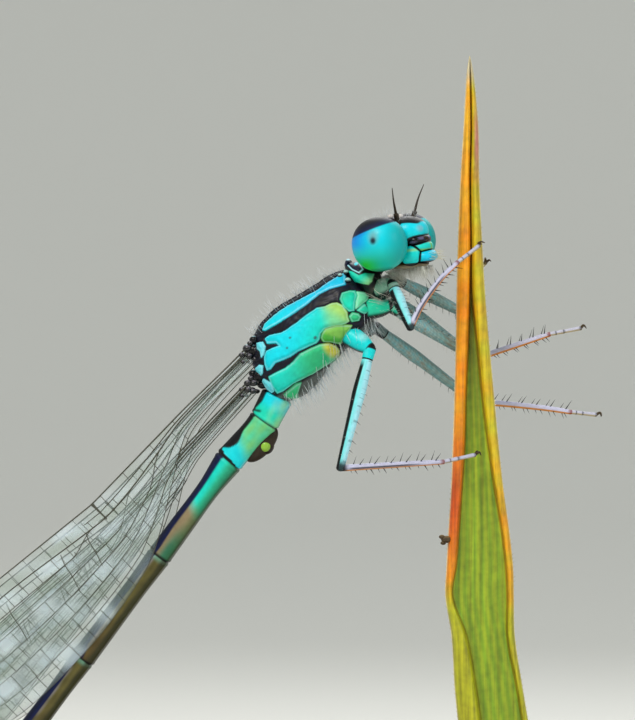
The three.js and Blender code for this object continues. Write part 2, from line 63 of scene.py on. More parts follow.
body_matrix = Matrix.Translation(THORAX_CENTRE) @ Matrix.Rotation(math.radians(BODY_YAW), 4, "Z")
leg_matrix = Matrix.Translation(THORAX_CENTRE)
head_matrix = body_matrix @ Matrix.Translation(HEAD_CENTRE) @ HEAD_TURN.to_matrix().to_4x4()


# Colours
def linear(hex_colour):
    """A linear colour from an sRGB hex value."""
    parts = [int(hex_colour[i:i + 2], 16) / 255 for i in (1, 3, 5)]
    return Vector([c / 12.92 if c <= 0.04045 else ((c + 0.055) / 1.055) ** 2.4 for c in parts])


CYAN = linear("#00CFE2")
SKY = linear("#0A8FE6")
TEAL = linear("#12CDB0")
GREEN = linear("#35A548")
LEAF_GREEN = linear("#4F9A12")
LIME = linear("#AECB55")
BLACK = linear("#06070D")
NAVY = linear("#101C50")
GREY = linear("#8E8A7C")
CREAM = linear("#DCD4B4")
BROWN = linear("#6E5630")
OLIVE = linear("#6F7434")
TAN = linear("#8C7444")
ORANGE = linear("#E8860A")
YELLOW = linear("#E0C21E")
RUST = linear("#C2400E")
WHITE = linear("#E4ECF2")
LILAC = linear("#B6B2D8")
SLATE = linear("#5B8A92")


def step(low, high, value):
    """A smooth rise from 0 at low to 1 at high."""
    x = min(1.0, max(0.0, (value - low) / (high - low)))
    return x * x * (3 - 2 * x)


def bump(centre, half, value):
    """1 at the centre, falling smoothly to 0 at half away from it."""
    return 1 - step(0, half, abs(value - centre))


def mix(a, b, share):
    """A colour on the way from a to b."""
    return a.lerp(b, min(1.0, max(0.0, share)))


def flow(rows, x):
    """A smooth reading between rows of (x, value, ...), held level past both ends."""
    if x <= rows[0][0]:
        return rows[0][1:]
    if x >= rows[-1][0]:
        return rows[-1][1:]
    i = next(k for k in range(1, len(rows)) if rows[k][0] >= x)
    before, start, end, after = rows[max(i - 2, 0)], rows[i - 1], rows[i], rows[min(i + 1, len(rows) - 1)]
    width = end[0] - start[0]
    t = (x - start[0]) / width
    values = []
    for k in range(1, len(start)):
        slope_in = (end[k] - before[k]) / (end[0] - before[0]) * width
        slope_out = (after[k] - start[k]) / (after[0] - start[0]) * width
        values.append((2 * t**3 - 3 * t**2 + 1) * start[k] + (t**3 - 2 * t**2 + t) * slope_in
                      + (3 * t**2 - 2 * t**3) * end[k] + (t**3 - t**2) * slope_out)
    return values


# Meshes
def new_mesh():
    """A mesh in the making, with a layer for the colour and roughness of each point."""
    bm = bmesh.new()
    bm.verts.layers.float_color.new("markings")
    return bm


def skin(bm, along, around, shape, matrix):
    """A closed tube in millimetres. shape(t, turn) gives a point, its colour and its roughness, with t
    from 0 to 1 along it and turn the angle round it."""
    markings = bm.verts.layers.float_color["markings"]
    grid = bmesh.ops.create_grid(bm, x_segments=along, y_segments=around, size=0.5)
    for vert in grid["verts"]:
        point, colour, roughness = shape(vert.co.x + 0.5, (vert.co.y + 0.5) * math.tau)
        vert.co = matrix @ point * MM
        vert[markings] = (*colour, roughness)
    bmesh.ops.remove_doubles(bm, verts=grid["verts"], dist=WELD)


def finished(name, bm, material, *nodes, slot=None):
    """The piece that a mesh becomes, in place of those nodes."""
    bmesh.ops.recalc_face_normals(bm, faces=bm.faces)
    for face in bm.faces:
        face.smooth = True
    mesh = bpy.data.meshes.new(name)
    bm.to_mesh(mesh)
    bm.free()
    piece = bpy.data.objects.new(name, mesh)
    bpy.context.scene.collection.objects.link(piece)
    mesh.materials.append(material)
    if nodes:
        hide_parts(*nodes)
    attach(piece, "root")
    return piece


def oval(centre, radii, paint, squareness=2.0, axis="x"):
    """The shape of a rounded lump, with its poles on the given axis."""
    def shape(t, turn):
        pole = math.cos(math.pi * t)
        ring = math.sin(math.pi * t)
        unit = [pole, ring * math.cos(turn), ring * math.sin(turn)]
        if axis == "y":
            unit = [unit[1], unit[0], unit[2]]
        if axis == "z":
            unit = [unit[1], unit[2], unit[0]]
        unit = [math.copysign(abs(u) ** (2 / squareness), u) for u in unit]
        point = Vector([c + r * u for c, r, u in zip(centre, radii, unit)])
        return (point, *paint(Vector(unit), point))
    return shape


def plain(colour, roughness=0.4):
    """The paint of a lump that is one colour all over."""
    return lambda unit, point: (colour, roughness)


# Materials
def put(tree, kind, inputs=None, **settings):
    """Adds a node with its settings, and its inputs as values or links."""
    made = tree.nodes.new(kind)
    for key, value in settings.items():
        setattr(made, key, value)
    for key, value in (inputs or {}).items():
        if isinstance(value, bpy.types.NodeSocket):
            tree.links.new(value, made.inputs[key])
        else:
            made.inputs[key].default_value = value
    return made


def material(name, **sockets):
    """A material, its node tree, and its shader with those sockets set."""
    made = bpy.data.materials.new(name)
    made.use_nodes = True
    shader = made.node_tree.nodes["Principled BSDF"]
    for socket, value in sockets.items():
        shader.inputs[socket.replace("_", " ")].default_value = value
    return made, made.node_tree, shader


def wire(shader, **outputs):
    """Links outputs of nodes to the shader's sockets of those names."""
    for socket, output in outputs.items():
        shader.id_data.links.new(output, shader.inputs[socket.replace("_", " ")])


def rgba(hex_colour):
    return (*linear(hex_colour), 1.0)


def paint_of(tree):
    """The colour painted on each point, and what stands beside it: its roughness or its opacity."""
    painted = put(tree, "ShaderNodeAttribute", attribute_name="markings").outputs
    return painted["Color"], painted["Alpha"]


def place_of(tree, stretch=None):
    """Where a point is, in metres, so that a pattern's scale is a number of cells to the metre."""
    place = put(tree, "ShaderNodeTexCoord").outputs["Object"]
    if not stretch:
        return place
    return put(tree, "ShaderNodeMapping", {"Vector": place, "Scale": stretch}).outputs["Vector"]


def noise(tree, place, per_mm, detail, **more):
    made = put(tree, "ShaderNodeTexNoise", {"Vector": place, "Scale": per_mm / MM, "Detail": detail, **more})
    return made.outputs["Fac"]


def cells(tree, place, per_mm, **more):
    made = put(tree, "ShaderNodeTexVoronoi", {"Vector": place, "Scale": per_mm / MM, **more})
    return made.outputs["Distance"]


def relief(tree, height, depth, strength, invert=False):
    """The normal of a surface with a pattern raised on it by up to a depth in metres."""
    return put(tree, "ShaderNodeBump", {"Height": height, "Distance": depth, "Strength": strength},
               invert=invert).outputs["Normal"]


def tones(tree, value, **ends):
    """A value spread over a range of light and dark."""
    sockets = {end.replace("_", " "): number for end, number in ends.items()}
    return put(tree, "ShaderNodeMapRange", {"Value": value, **sockets}).outputs["Result"]


def shaded(tree, colour, tone):
    """A colour made lighter or darker by a tone."""
    return put(tree, "ShaderNodeVectorMath", {0: colour, "Scale": tone}, operation="SCALE").outputs["Vector"]


def ramp(tree, value, low, high):
    """A blend between two colours, each with its place from 0 to 1."""
    made = put(tree, "ShaderNodeValToRGB", {"Fac": value})
    for element, (position, colour) in zip(made.color_ramp.elements, (low, high)):
        element.position = position
        element.color = rgba(colour)
    return made.outputs["Color"]


def hard_wax_cuticle():
    """Smooth insect cuticle under a thin bloom of wax: fine punctures, uneven gloss, a soft sheen."""
    made, tree, shader = material("hard_wax_cuticle", IOR=1.5, Specular_IOR_Level=0.22,
                                  Coat_Weight=0.05, Coat_Roughness=0.15)
    colour, roughness = paint_of(tree)
    place = place_of(tree)
    tone = tones(tree, noise(tree, place, 5.2, 3.0), To_Min=0.8, To_Max=1.2)
    gloss = put(tree, "ShaderNodeMath", {0: roughness, 1: tone}, operation="MULTIPLY")
    wire(shader, Base_Color=shaded(tree, colour, tone), Roughness=gloss.outputs["Value"],
         Normal=relief(tree, cells(tree, place, 21), 5e-6, 0.3))
    return made


def compound_eye():
    """Clear cornea over coloured cells: wet gloss on a fine honeycomb of facets about 0.03 mm across."""
    made, tree, shader = material("compound_eye", IOR=1.5, Specular_IOR_Level=0.2, Coat_Weight=0.06,
                                  Coat_Roughness=0.1)
    colour, roughness = paint_of(tree)
    facets = cells(tree, place_of(tree), 33, Randomness=0.25)
    wire(shader, Base_Color=colour, Roughness=roughness,
         Normal=relief(tree, facets, 4e-6, 0.5, invert=True))
    return made


def wing_membrane():
    """Glass-clear dry chitin: faint grey-green and a little crinkled, with oily colours in its gloss."""
    made, tree, shader = material("wing_membrane", IOR=1.56, Roughness=0.16, Thin_Film_Thickness=380.0,
                                  Thin_Film_IOR=1.4, Coat_Weight=0.3, Coat_Roughness=0.1)
    colour, opacity = paint_of(tree)
    crinkle = noise(tree, place_of(tree), 2.6, 2.0)
    wire(shader, Base_Color=colour, Alpha=opacity, Normal=relief(tree, crinkle, 6e-5, 0.35))
    return made


def wing_vein():
    """Thick dark chitin tubing: brown-black, satin."""
    made, tree, shader = material("wing_vein", IOR=1.55)
    colour, roughness = paint_of(tree)
    wire(shader, Base_Color=colour, Roughness=roughness)
    return made


def pale_bristle():
    """Fine insect hairs: clear, near white, with light passing through."""
    made, tree, shader = material("pale_bristle", IOR=1.5, Roughness=0.35, Alpha=0.75)
    wire(shader, Base_Color=paint_of(tree)[0])
    return made


def grass_leaf():
    """Living grass blade: satin wax, fine lengthwise veins about 0.12 mm apart, drying at its margins."""
    made, tree, shader = material("grass_leaf", IOR=1.45, Coat_Weight=0.1, Coat_Roughness=0.3)
    colour, roughness = paint_of(tree)
    veins = noise(tree, place_of(tree, (1.0, 1.0, 0.03)), 9, 5.0)
    blotch = noise(tree, place_of(tree), 4.2, 6.0)
    fleck = put(tree, "ShaderNodeMath", {0: blotch, 1: 0.45, 2: veins}, operation="MULTIPLY_ADD")
    tone = tones(tree, fleck.outputs["Value"], From_Min=0.5, From_Max=0.95, To_Min=0.62, To_Max=1.38)
    wire(shader, Base_Color=shaded(tree, colour, tone), Roughness=roughness,
         Normal=relief(tree, veins, 4e-5, 0.6))
    return made


def stained_hardwood():
    """Dark stained walnut under satin varnish: grain under 1 mm wide that runs along the base."""
    made, tree, shader = material("stained_hardwood", IOR=1.5, Roughness=0.38, Coat_Weight=0.3,
                                  Coat_Roughness=0.2)
    grain = noise(tree, place_of(tree, (0.08, 1.0, 1.0)), 1.3, 6.0, Distortion=0.6)
    wire(shader, Base_Color=ramp(tree, grain, (0.32, "#1E120B"), (0.68, "#5A3A24")),
         Normal=relief(tree, grain, 2e-5, 0.3))
    return made


def brushed_steel():
    """Stainless rod, turned and brushed: fine rings round it that stretch its highlights."""
    made, tree, shader = material("brushed_steel", Metallic=1.0, Roughness=0.3)
    brush = noise(tree, place_of(tree, (0.05, 0.05, 1.0)), 26, 3.0)
    wire(shader, Base_Color=ramp(tree, brush, (0.0, "#9FA2A5"), (1.0, "#D6D8DA")),
         Normal=relief(tree, brush, 3e-6, 0.4))
    return made


CUTICLE = hard_wax_cuticle()
EYE_CORNEA = compound_eye()
MEMBRANE = wing_membrane()
VEIN = wing_vein()
HAIR = pale_bristle()
LEAF = grass_leaf()
WOOD = stained_hardwood()
STEEL = brushed_steel()


# Thorax, in its own axes: s along it towards the head, h up from it
def on_thorax(s, h, left=0.0):
    """A point given by how far along the thorax, above its axis and to its left it lies."""
    cos, sin = math.cos(THORAX_PITCH), math.sin(THORAX_PITCH)
    return Vector((cos * s - sin * h, left, sin * s + cos * h))


# Rows of place, height, half width, rise and drop.
SYNTHORAX = [(-2.32, -0.1, 0.0, 0.0, 0.0), (-2.28, -0.1, 0.38, 0.5, 0.45), (-2.2, -0.12, 0.55, 0.74, 0.66),
             (-2.0, 0.05, 0.8, 1.08, 0.92), (-1.5, 0.15, 0.98, 1.38, 1.2), (-0.9, 0.2, 1.07, 1.44, 1.24),
             (-0.3, 0.24, 1.12, 1.42, 1.14), (0.4, 0.24, 1.12, 1.28, 1.1), (1.1, 0.2, 1.08, 1.18, 1.06),
             (1.65, 0.22, 0.94, 1.08, 1.04), (1.95, 0.26, 0.74, 0.94, 0.85), (2.2, 0.36, 0.5, 0.66, 0.6),
             (2.36, 0.4, 0.0, 0.0, 0.0)]
# Outlines of the thorax's plates, as rows of s and h.
FLANK = [(-1.17, 1.14), (-0.99, 1.11), (-0.65, 0.9), (-0.48, 0.85), (-0.05, 0.79), (0.35, 0.76),
         (0.75, 0.7), (0.97, 0.56), (1.21, 0.48), (1.34, 0.39), (1.42, 0.19), (1.38, -0.06),
         (1.29, -0.2), (1.24, -0.31), (1.1, -0.3), (0.95, -0.22), (0.68, -0.05), (0.49, 0.03),
         (0.3, 0.0), (0.15, -0.11), (0.0, -0.13), (-0.26, -0.04), (-0.6, 0.07), (-0.92, 0.12),
         (-1.17, 0.21), (-1.41, 0.31), (-1.66, 0.27), (-1.78, 0.32), (-1.71, 0.5), (-1.57, 0.7),
         (-1.39, 0.79), (-1.19, 0.72), (-0.95, 0.61), (-0.96, 0.77), (-1.2, 0.98)]
MIDDLE_PLATE = [(0.34, -0.05), (0.53, -0.01), (0.84, -0.16), (1.08, -0.36), (1.2, -0.48), (1.06, -0.52),
                (0.88, -0.55), (0.69, -0.61), (0.52, -0.66), (0.47, -0.58), (0.35, -0.42), (0.2, -0.26),
                (0.22, -0.13)]
HIND_PLATE = [(-1.89, 0.11), (-1.61, 0.03), (-1.3, -0.07), (-0.98, -0.1), (-0.62, -0.06), (-0.25, -0.16),
              (0.04, -0.26), (0.27, -0.42), (0.36, -0.62), (0.33, -0.78), (0.2, -0.84), (-0.11, -0.86),
              (-0.3, -0.83), (-0.8, -0.77), (-1.35, -0.61), (-1.88, -0.53), (-2.06, -0.46), (-2.03, -0.19)]
FRONT_PLATE = [(1.51, 0.41), (1.67, 0.52), (1.89, 0.42), (2.0, 0.3), (1.94, 0.16), (1.76, 0.02), (1.58, -0.17),
               (1.46, -0.07), (1.43, 0.15)]
FRONT_PLATE_LOW = [(2.03, 0.24), (2.17, 0.07), (2.22, -0.08), (2.1, -0.17), (1.92, -0.18), (1.66, -0.17),
                   (1.82, 0.0), (1.98, 0.12)]
LEAF_PLATE = [(1.67, -0.24), (1.88, -0.22), (2.12, -0.29), (2.3, -0.42), (2.3, -0.58), (2.2, -0.66),
              (2.0, -0.62), (1.74, -0.43)]
SMALL_PLATE = [(1.35, -0.22), (1.5, -0.2), (1.6, -0.34), (1.59, -0.45), (1.47, -0.5), (1.3, -0.39)]
RIM_PLATE = [(-1.93, -0.64), (-1.39, -0.68), (-1.26, -0.74), (-1.51, -0.86), (-1.76, -0.98), (-1.95, -0.78)]
STRIPE = [(2.14, 1.04), (1.6, 1.12), (1.07, 1.18), (0.59, 1.31), (0.02, 1.47), (-0.51, 1.54), (-0.92, 1.55),
          (-1.06, 1.45), (-1.0, 1.38), (-0.53, 1.25), (-0.02, 1.15), (0.55, 1.07), (1.08, 1.05), (1.46, 0.94),
          (1.91, 0.71)]
WING_KNOBS = [[(-1.49, 1.23), (-1.31, 1.12), (-1.34, 0.94), (-1.52, 0.8), (-1.65, 0.78), (-1.55, 0.95),
               (-1.58, 1.1)],
              [(-2.09, 0.65), (-1.89, 0.63), (-1.81, 0.53), (-1.98, 0.37), (-2.1, 0.37), (-2.15, 0.54)],
              [(-2.2, 0.21), (-2.08, 0.19), (-1.99, -0.08), (-2.09, -0.33), (-2.2, -0.3), (-2.24, -0.1)]]
FLANK_END = [(-2.2, -0.5), (-1.25, -0.74), (-0.5, -0.86), (0.22, -0.9), (1.2, -0.75), (1.9, -0.7)]


def inside(outline, s, h):
    """How deep a place lies inside an outline, or less than 0 outside it. Far outside gives -1."""
    low_s, high_s = min(s0 for s0, h0 in outline), max(s0 for s0, h0 in outline)
    low_h, high_h = min(h0 for s0, h0 in outline), max(h0 for s0, h0 in outline)
    if not (low_s - 0.1 < s < high_s + 0.1 and low_h - 0.1 < h < high_h + 0.1):
        return -1.0
    nearest, within = 9.0, False
    for (s0, h0), (s1, h1) in zip(outline, outline[1:] + outline[:1]):
        ds, dh = s1 - s0, h1 - h0
        t = min(1.0, max(0.0, ((s - s0) * ds + (h - h0) * dh) / (ds * ds + dh * dh)))
        nearest = min(nearest, math.hypot(s - s0 - t * ds, h - h0 - t * dh))
        if (h0 > h) != (h1 > h) and s < s0 + ds * (h - h0) / dh:
            within = not within
    return nearest if within else -nearest


def oval_distance(s, h, centre, radii, tilt=0.0):
    """How far a place is from an oval's middle, where 1 is its edge."""
    cos, sin = math.cos(math.radians(tilt)), math.sin(math.radians(tilt))
    ds, dh = s - centre[0], h - centre[1]
    return math.hypot((cos * ds + sin * dh) / radii[0], (cos * dh - sin * ds) / radii[1])


def flank_colour(s, h):
    """Cyan over teal with a lime front end, and three small dark dots."""
    colour = mix(CYAN, TEAL, 0.8 * step(1.0, -0.2, h - 0.4 * s) * step(-1.6, 0.4, s))
    colour = mix(colour, mix(TEAL, LIME, 0.4), step(0.4, 0.9, s - 0.5 * h))
    colour = mix(colour, mix(LIME, GREEN, 0.15), 0.8 * step(0.9, 1.35, s + 0.25 * h))
    for dot, size in (((-0.51, 0.54), 0.05), ((-0.8, 0.37), 0.045), ((0.1, 0.02), 0.07)):
        dark = step(1.2, 0.5, oval_distance(s, h, dot, (size, size * 0.8)))
        colour = mix(colour, SLATE * 0.3, 0.85 * dark)
    return colour


def hind_plate_colour(s, h):
    colour = mix(mix(TEAL, CYAN, 0.25), mix(GREEN, TEAL, 0.35), step(-1.6, -0.1, s - 0.6 * h))
    yellow = mix(YELLOW, LIME, 0.3)
    return mix(colour, yellow, 0.85 * step(0.32, 0.08, math.hypot(s - 0.22, 0.7 * (h + 0.6))))


def middle_plate_colour(s, h):
    colour = mix(GREEN, LEAF_GREEN, 0.4)
    colour = mix(colour, mix(GREEN, LIME, 0.38), step(0.62, 0.8, s + 0.6 * h + 0.35))
    crease = abs(0.9 * (s - 0.82) - (h + 0.48))
    return mix(colour, GREEN * 0.35, 0.5 * step(0.05, 0.0, crease))


THORAX_PLATES = [
    (FLANK, flank_colour), (HIND_PLATE, hind_plate_colour), (MIDDLE_PLATE, middle_plate_colour),
    (FRONT_PLATE, lambda s, h: mix(TEAL, GREEN, step(0.1, 0.45, h) * 0.35)),
    (FRONT_PLATE_LOW, lambda s, h: mix(TEAL, LIME, 0.3)),
    (LEAF_PLATE, lambda s, h: mix(TEAL, GREEN, 0.25 + 0.3 * step(-0.4, -0.6, h))),
    (SMALL_PLATE, lambda s, h: mix(GREEN, TEAL, 0.35)),
    (RIM_PLATE, lambda s, h: mix(GREEN, TEAL, 0.3)),
    (STRIPE, lambda s, h: mix(CYAN, SKY, 0.35 * step(-1.0, 1.5, s))),
    *[(knob, lambda s, h: mix(CYAN, WHITE, 0.15)) for knob in WING_KNOBS],
]


def thorax_paint(s, h):
    """Colour, roughness and relief of the thorax's side at one place: bronze black with painted glints, and
    pale plates with a painted highlight along their rims.
    """
    glint = 0.5 + 0.5 * math.sin(17 * s + 3 * math.sin(9 * h)) * math.sin(21 * h + 2 * math.sin(6 * s))
    colour = mix(BLACK, NAVY * 0.5, 0.4 * glint)
    roughness, relief = 0.48, -0.03 + 0.012 * glint
    venter = step(0.04, -0.05, h - flow(FLANK_END, s)[0])
    colour = mix(colour, mix(GREY, SLATE, 0.4) * 0.35, venter)
    for outline, plate_colour in THORAX_PLATES:
        depth = inside(outline, s, h)
        if depth > -0.06:
            colour = mix(colour, plate_colour(s, h), step(-0.035, -0.01, depth))
            # Painted highlight: a thin pale cyan-white line just inside each plate's outline, where light
            # would catch its raised rim.
            colour = mix(colour, mix(WHITE, CYAN, 0.3), 0.3 * bump(0.015, 0.03, depth))
            roughness += 0.05 * step(-0.035, -0.01, depth)
            raised = 0.03 if outline is STRIPE else 0.075
            relief += raised * step(-0.02, 0.13, depth)
            relief -= 0.03 * bump(-0.04, 0.03, depth)
    return colour, min(roughness, 0.6), relief


def synthorax_shape(t, turn):
    s = SYNTHORAX[0][0] + t * (SYNTHORAX[-1][0] - SYNTHORAX[0][0])
    height, half, rise, drop = flow(SYNTHORAX, s)
    cos, sin = math.cos(turn), math.sin(turn)
    across = math.copysign(abs(cos) ** 0.96, cos)
    up = math.copysign(abs(sin) ** (1.04 if sin > 0 else 0.95), sin)
    h = height + up * (rise if sin > 0 else drop)
    colour, roughness, relief = thorax_paint(s, h)
    keel = 0.05 * bump(math.pi / 2, 0.12, turn) * step(-1.4, -1.0, s)
    spread = 1 + relief / max(half, 0.4)
    point = on_thorax(s, height + (h - height) * (spread + keel), max(half, 0) * across * spread)
    return point, colour, roughness


# The dark knobs that the wings hinge on: place, height, distance from the middle and size
HINGES = [(-1.72, 1.12, 0.46, 0.2), (-1.86, 1.3, 0.34, 0.16), (-1.5, 1.36, 0.5, 0.14),
          (-2.14, 0.36, 0.44, 0.2), (-2.26, 0.58, 0.34, 0.14), (-2.28, 0.12, 0.34, 0.15)]


def thorax():
    bm = new_mesh()
    skin(bm, 220, 280, synthorax_shape, body_matrix)
    for way in SIDES.values():
        for s, h, left, size in HINGES:
            hinge = on_thorax(s, h, left * way)
            skin(bm, 18, 24, oval(hinge, (size, size, size * 0.9), hinge_paint), body_matrix)
    finished("thorax_shell", bm, CUTICLE, "synthorax", slot="cuticle")


def hinge_paint(unit, point):
    # Black knob with a painted highlight: pale cyan-white over its top.
    return mix(BLACK, mix(CYAN, WHITE, 0.5), 0.8 * step(0.8, 0.95, unit.z)), 0.3


# Rows of place, height, half width, rise and drop.
PROTHORAX = [(2.0, 0.42, 0.0, 0.0, 0.0), (2.08, 0.42, 0.3, 0.35, 0.3), (2.2, 0.44, 0.55, 0.72, 0.6),
             (2.32, 0.46, 0.72, 0.84, 0.74), (2.42, 0.46, 0.79, 0.76, 0.78), (2.54, 0.46, 0.8, 0.62, 0.76),
             (2.68, 0.46, 0.72, 0.54, 0.68), (2.8, 0.47, 0.5, 0.34, 0.48), (2.95, 0.5, 0.34, 0.24, 0.34),
             (3.4, 0.56, 0.3, 0.22, 0.3), (3.5, 0.56, 0.0, 0.0, 0.0)]
PRONOTUM = [(2.36, 1.22), (2.7, 1.1), (2.66, 0.66), (2.5, 0.66), (2.4, 0.9)]
COLLAR_SIDE = [(2.27, 1.0), (2.37, 0.86), (2.46, 0.6), (2.64, 0.53), (2.84, 0.31), (2.64, 0.14), (2.46, 0.13),
               (2.33, 0.3), (2.16, 0.56), (2.19, 0.8)]
# The small studs between the collar and the thorax, as the hinges are given
STUDS = [(2.17, 0.97, 0.42, 0.09), (2.05, 0.72, 0.56, 0.1), (1.96, 1.02, 0.42, 0.08)]


def prothorax_shape(t, turn):
    s = PROTHORAX[0][0] + t * (PROTHORAX[-1][0] - PROTHORAX[0][0])
    height, half, rise, drop = flow(PROTHORAX, s)
    cos, sin = math.cos(turn), math.sin(turn)
    h = height + sin * (rise if sin > 0 else drop)
    back = inside(PRONOTUM, s, h)
    side = inside(COLLAR_SIDE, s, h)
    colour = mix(GREY * 0.3, BLACK, step(-0.2, 0.1, h))
    colour = mix(colour, mix(TEAL, LIME, 0.55 * step(0.5, 0.15, h)), step(0.0, 0.03, side))
    colour = mix(colour, mix(CYAN, WHITE, 0.45), bump(0.0, 0.035, back))
    colour = mix(colour, NAVY * 0.3, step(0.02, 0.04, back))
    colour = mix(colour, CYAN, step(1.2, 0.8, oval_distance(s, h, (2.6, 0.96), (0.06, 0.06))))
    relief = 0.07 * step(0.0, 0.12, side) + 0.04 * step(0.0, 0.1, back) - 0.03
    spread = 1 + relief / max(half, 0.35)
    return on_thorax(s, height + (h - height) * spread, half * cos * spread), colour, 0.42


def prothorax():
    bm = new_mesh()
    skin(bm, 120, 150, prothorax_shape, body_matrix)
    lobe = on_thorax(2.36, 1.14, 0)
    skin(bm, 24, 36, oval(lobe, (0.12, 0.42, 0.2), lobe_paint, axis="y"), body_matrix)
    for way in SIDES.values():
        for s, h, left, size in STUDS:
            stud = on_thorax(s, h, left * way)
            skin(bm, 14, 18, oval(stud, (size, size, size), stud_paint), body_matrix)
    finished("prothorax_collar", bm, CUTICLE, "prothorax", slot="bronze")


def stud_paint(unit, point):
    # Black stud with a painted highlight: pale cyan-cream over its upper side.
    return mix(BLACK, mix(CYAN, CREAM, 0.5), step(-0.2, 0.5, unit.z)), 0.35


def lobe_paint(unit, point):
    # Dark navy lobe with a painted highlight: pale cyan-white on its top.
    return mix(NAVY * 0.3, mix(CYAN, WHITE, 0.4), step(0.6, 0.85, unit.z)), 0.35


# Head, in its own axes: x forwards, y to its left, z up
CAPSULE = {"half": 0.86, "length": 0.76, "height": 0.82}
# The face's plates, each a rounded lump with its centre and radii.
FACE = {
    "brow": ((0.54, 0, 0.28), (0.63, 0.68, 0.51)),
    "nose": ((0.87, 0, 0.01), (0.35, 0.57, 0.2)),
    "upper_mouth": ((0.94, 0, -0.22), (0.36, 0.46, 0.22)),
    "lip": ((1.06, 0, -0.53), (0.37, 0.44, 0.22)),
    "chin": ((0.5, 0, -0.77), (0.62, 0.42, 0.14)),
    "jaw_left": ((0.73, 0.44, -0.46), (0.33, 0.24, 0.31)),
    "jaw_right": ((0.73, -0.44, -0.46), (0.33, 0.24, 0.31)),
}
FACE_ROUNDING = 2.15
OCELLI = [(0.32, 0, 0.8), (0.06, 0.22, 0.83), (0.06, -0.22, 0.83)]
# The knobs on each side of the crown, with their sizes
CROWN_KNOBS = [(-0.35, 0.45, 0.66, 0.16), (0.3, 0.42, 0.7, 0.13), (-0.1, 0.62, 0.62, 0.14),
               (0.42, 0.6, 0.56, 0.12), (0.1, 0.5, 0.76, 0.09), (0.5, 0.2, 0.72, 0.08)]


def seam(point, *without):
    """How dark the seam is at a point of the head: 1 where it meets another of the face's plates."""
    nearest = 9.0
    for name, (centre, radii) in FACE.items():
        if name in without:
            continue
        reach = sum(abs((p - c) / r) ** FACE_ROUNDING for p, c, r in zip(point, centre, radii))
        nearest = min(nearest, abs(reach ** (1 / FACE_ROUNDING) - 1) * min(radii))
    return step(0.045, 0.02, nearest)


def capsule_shape(t, turn):
    """The head behind its face: a short barrel from side to side, hollowed at the back."""
    left = (2 * t - 1) * CAPSULE["half"]
    size = math.sqrt(max(0.0, 1 - abs(2 * t - 1) ** 6))
    dent = 0.1 * step(0.2, -0.7, math.cos(turn)) * (1 - abs(2 * t - 1))
    x = -0.06 + CAPSULE["length"] * (1 - dent) * math.cos(turn) * size
    z = CAPSULE["height"] * math.sin(turn) * size * (1 - 0.06 * abs(2 * t - 1))
    point = Vector((x, left, z))
    # The black crown carries painted glints: lilac-navy streaks where a wavy pattern peaks.
    crown_glint = 0.5 + 0.5 * math.sin(16 * left + 1) * math.sin(13 * x + 2)
    crown = mix(BLACK, mix(NAVY, LILAC, 0.3), 0.5 * step(0.62, 0.9, crown_glint))
    colour = mix(mix(CYAN, TEAL, 0.5), crown, step(0.42, 0.5, z + 0.22 * (0.3 - x)))
    colour = mix(colour, GREY * 0.25, step(-0.3, -0.5, z))
    colour = mix(colour, BLACK, step(-0.1, -0.25, x) * step(0.6, 0.3, z))
    colour = mix(colour, BLACK, seam(point, "brow"))
    return point, colour, 0.4


def face_paint(name):
    """The paint of one of the face's plates, dark where it meets its neighbours."""
    def paint(unit, point):
        roughness = 0.38
        if name == "brow":
            edge = 0.42 + 0.05 * math.cos(9 * point.y) + 0.18 * abs(point.y)
            crown = step(edge, edge + 0.06, point.z + 0.15 * (0.5 - point.x))
            colour = mix(mix(CYAN, TEAL, 0.3 * step(0.3, -0.3, unit.z)), BLACK, crown)
            # A painted highlight: a soft grey-lilac spot on the brow beside its middle, kept off the black
            # crown.
            pale = math.hypot(point.y + 0.3, 1.2 * (point.z - 0.38))
            colour = mix(colour, mix(GREY, LILAC, 0.4), 0.45 * step(0.2, 0.04, pale) * (1 - crown))
        elif name == "nose":
            glint = 0.5 + 0.5 * math.sin(13 * point.y) * math.sin(19 * point.z)
            colour = mix(BLACK, mix(NAVY, LILAC, 0.25), 0.7 * step(0.4, 0.9, glint))
            roughness = 0.26
        elif name == "upper_mouth":
            colour = mix(mix(TEAL, CYAN, 0.3), mix(GREEN, LIME, 0.4),
                         max(bump(-0.45, 0.3, unit.z), bump(0, 0.2, unit.y)))
        elif name == "lip":
            colour = mix(mix(CYAN, SKY, 0.25 * step(-0.3, 0.5, unit.x)), BLACK, step(-0.62, -0.74, unit.z))
        elif name == "chin":
            colour = mix(BROWN * 0.5, CREAM * 0.7, 0.5 * step(0.3, -0.6, unit.z))
            roughness = 0.55
        else:
            colour = mix(mix(CYAN, TEAL, 0.5), BLACK, step(-0.72, -0.86, unit.z))
            colour = mix(colour, mix(TEAL, LIME, 0.5), bump(0.55, 0.25, unit.z))
        return mix(colour, BLACK, seam(point, name)), roughness
    return paint


def head():
    bm = new_mesh()
    skin(bm, 100, 130, capsule_shape, head_matrix)
    for name, (centre, radii) in FACE.items():
        detail = 110 if name == "brow" else 76
        plate = oval(centre, radii, face_paint(name), FACE_ROUNDING, axis="y")
        skin(bm, detail, detail, plate, head_matrix)
    for centre in OCELLI:
        # The three simple eyes are pale cream-lilac beads: painted highlights on their glossy lenses.
        bead = oval(centre, (0.09, 0.09, 0.08), plain(mix(CREAM, LILAC, 0.4), 0.15))
        skin(bm, 14, 18, bead, head_matrix)
    for way in SIDES.values():
        for x, y, z, size in CROWN_KNOBS:
            knob = oval((x, y * way, z), (size, size, size * 0.7), crown_paint)
            skin(bm, 16, 20, knob, head_matrix)
    finished("head_shell", bm, CUTICLE, "head", slot="cuticle")


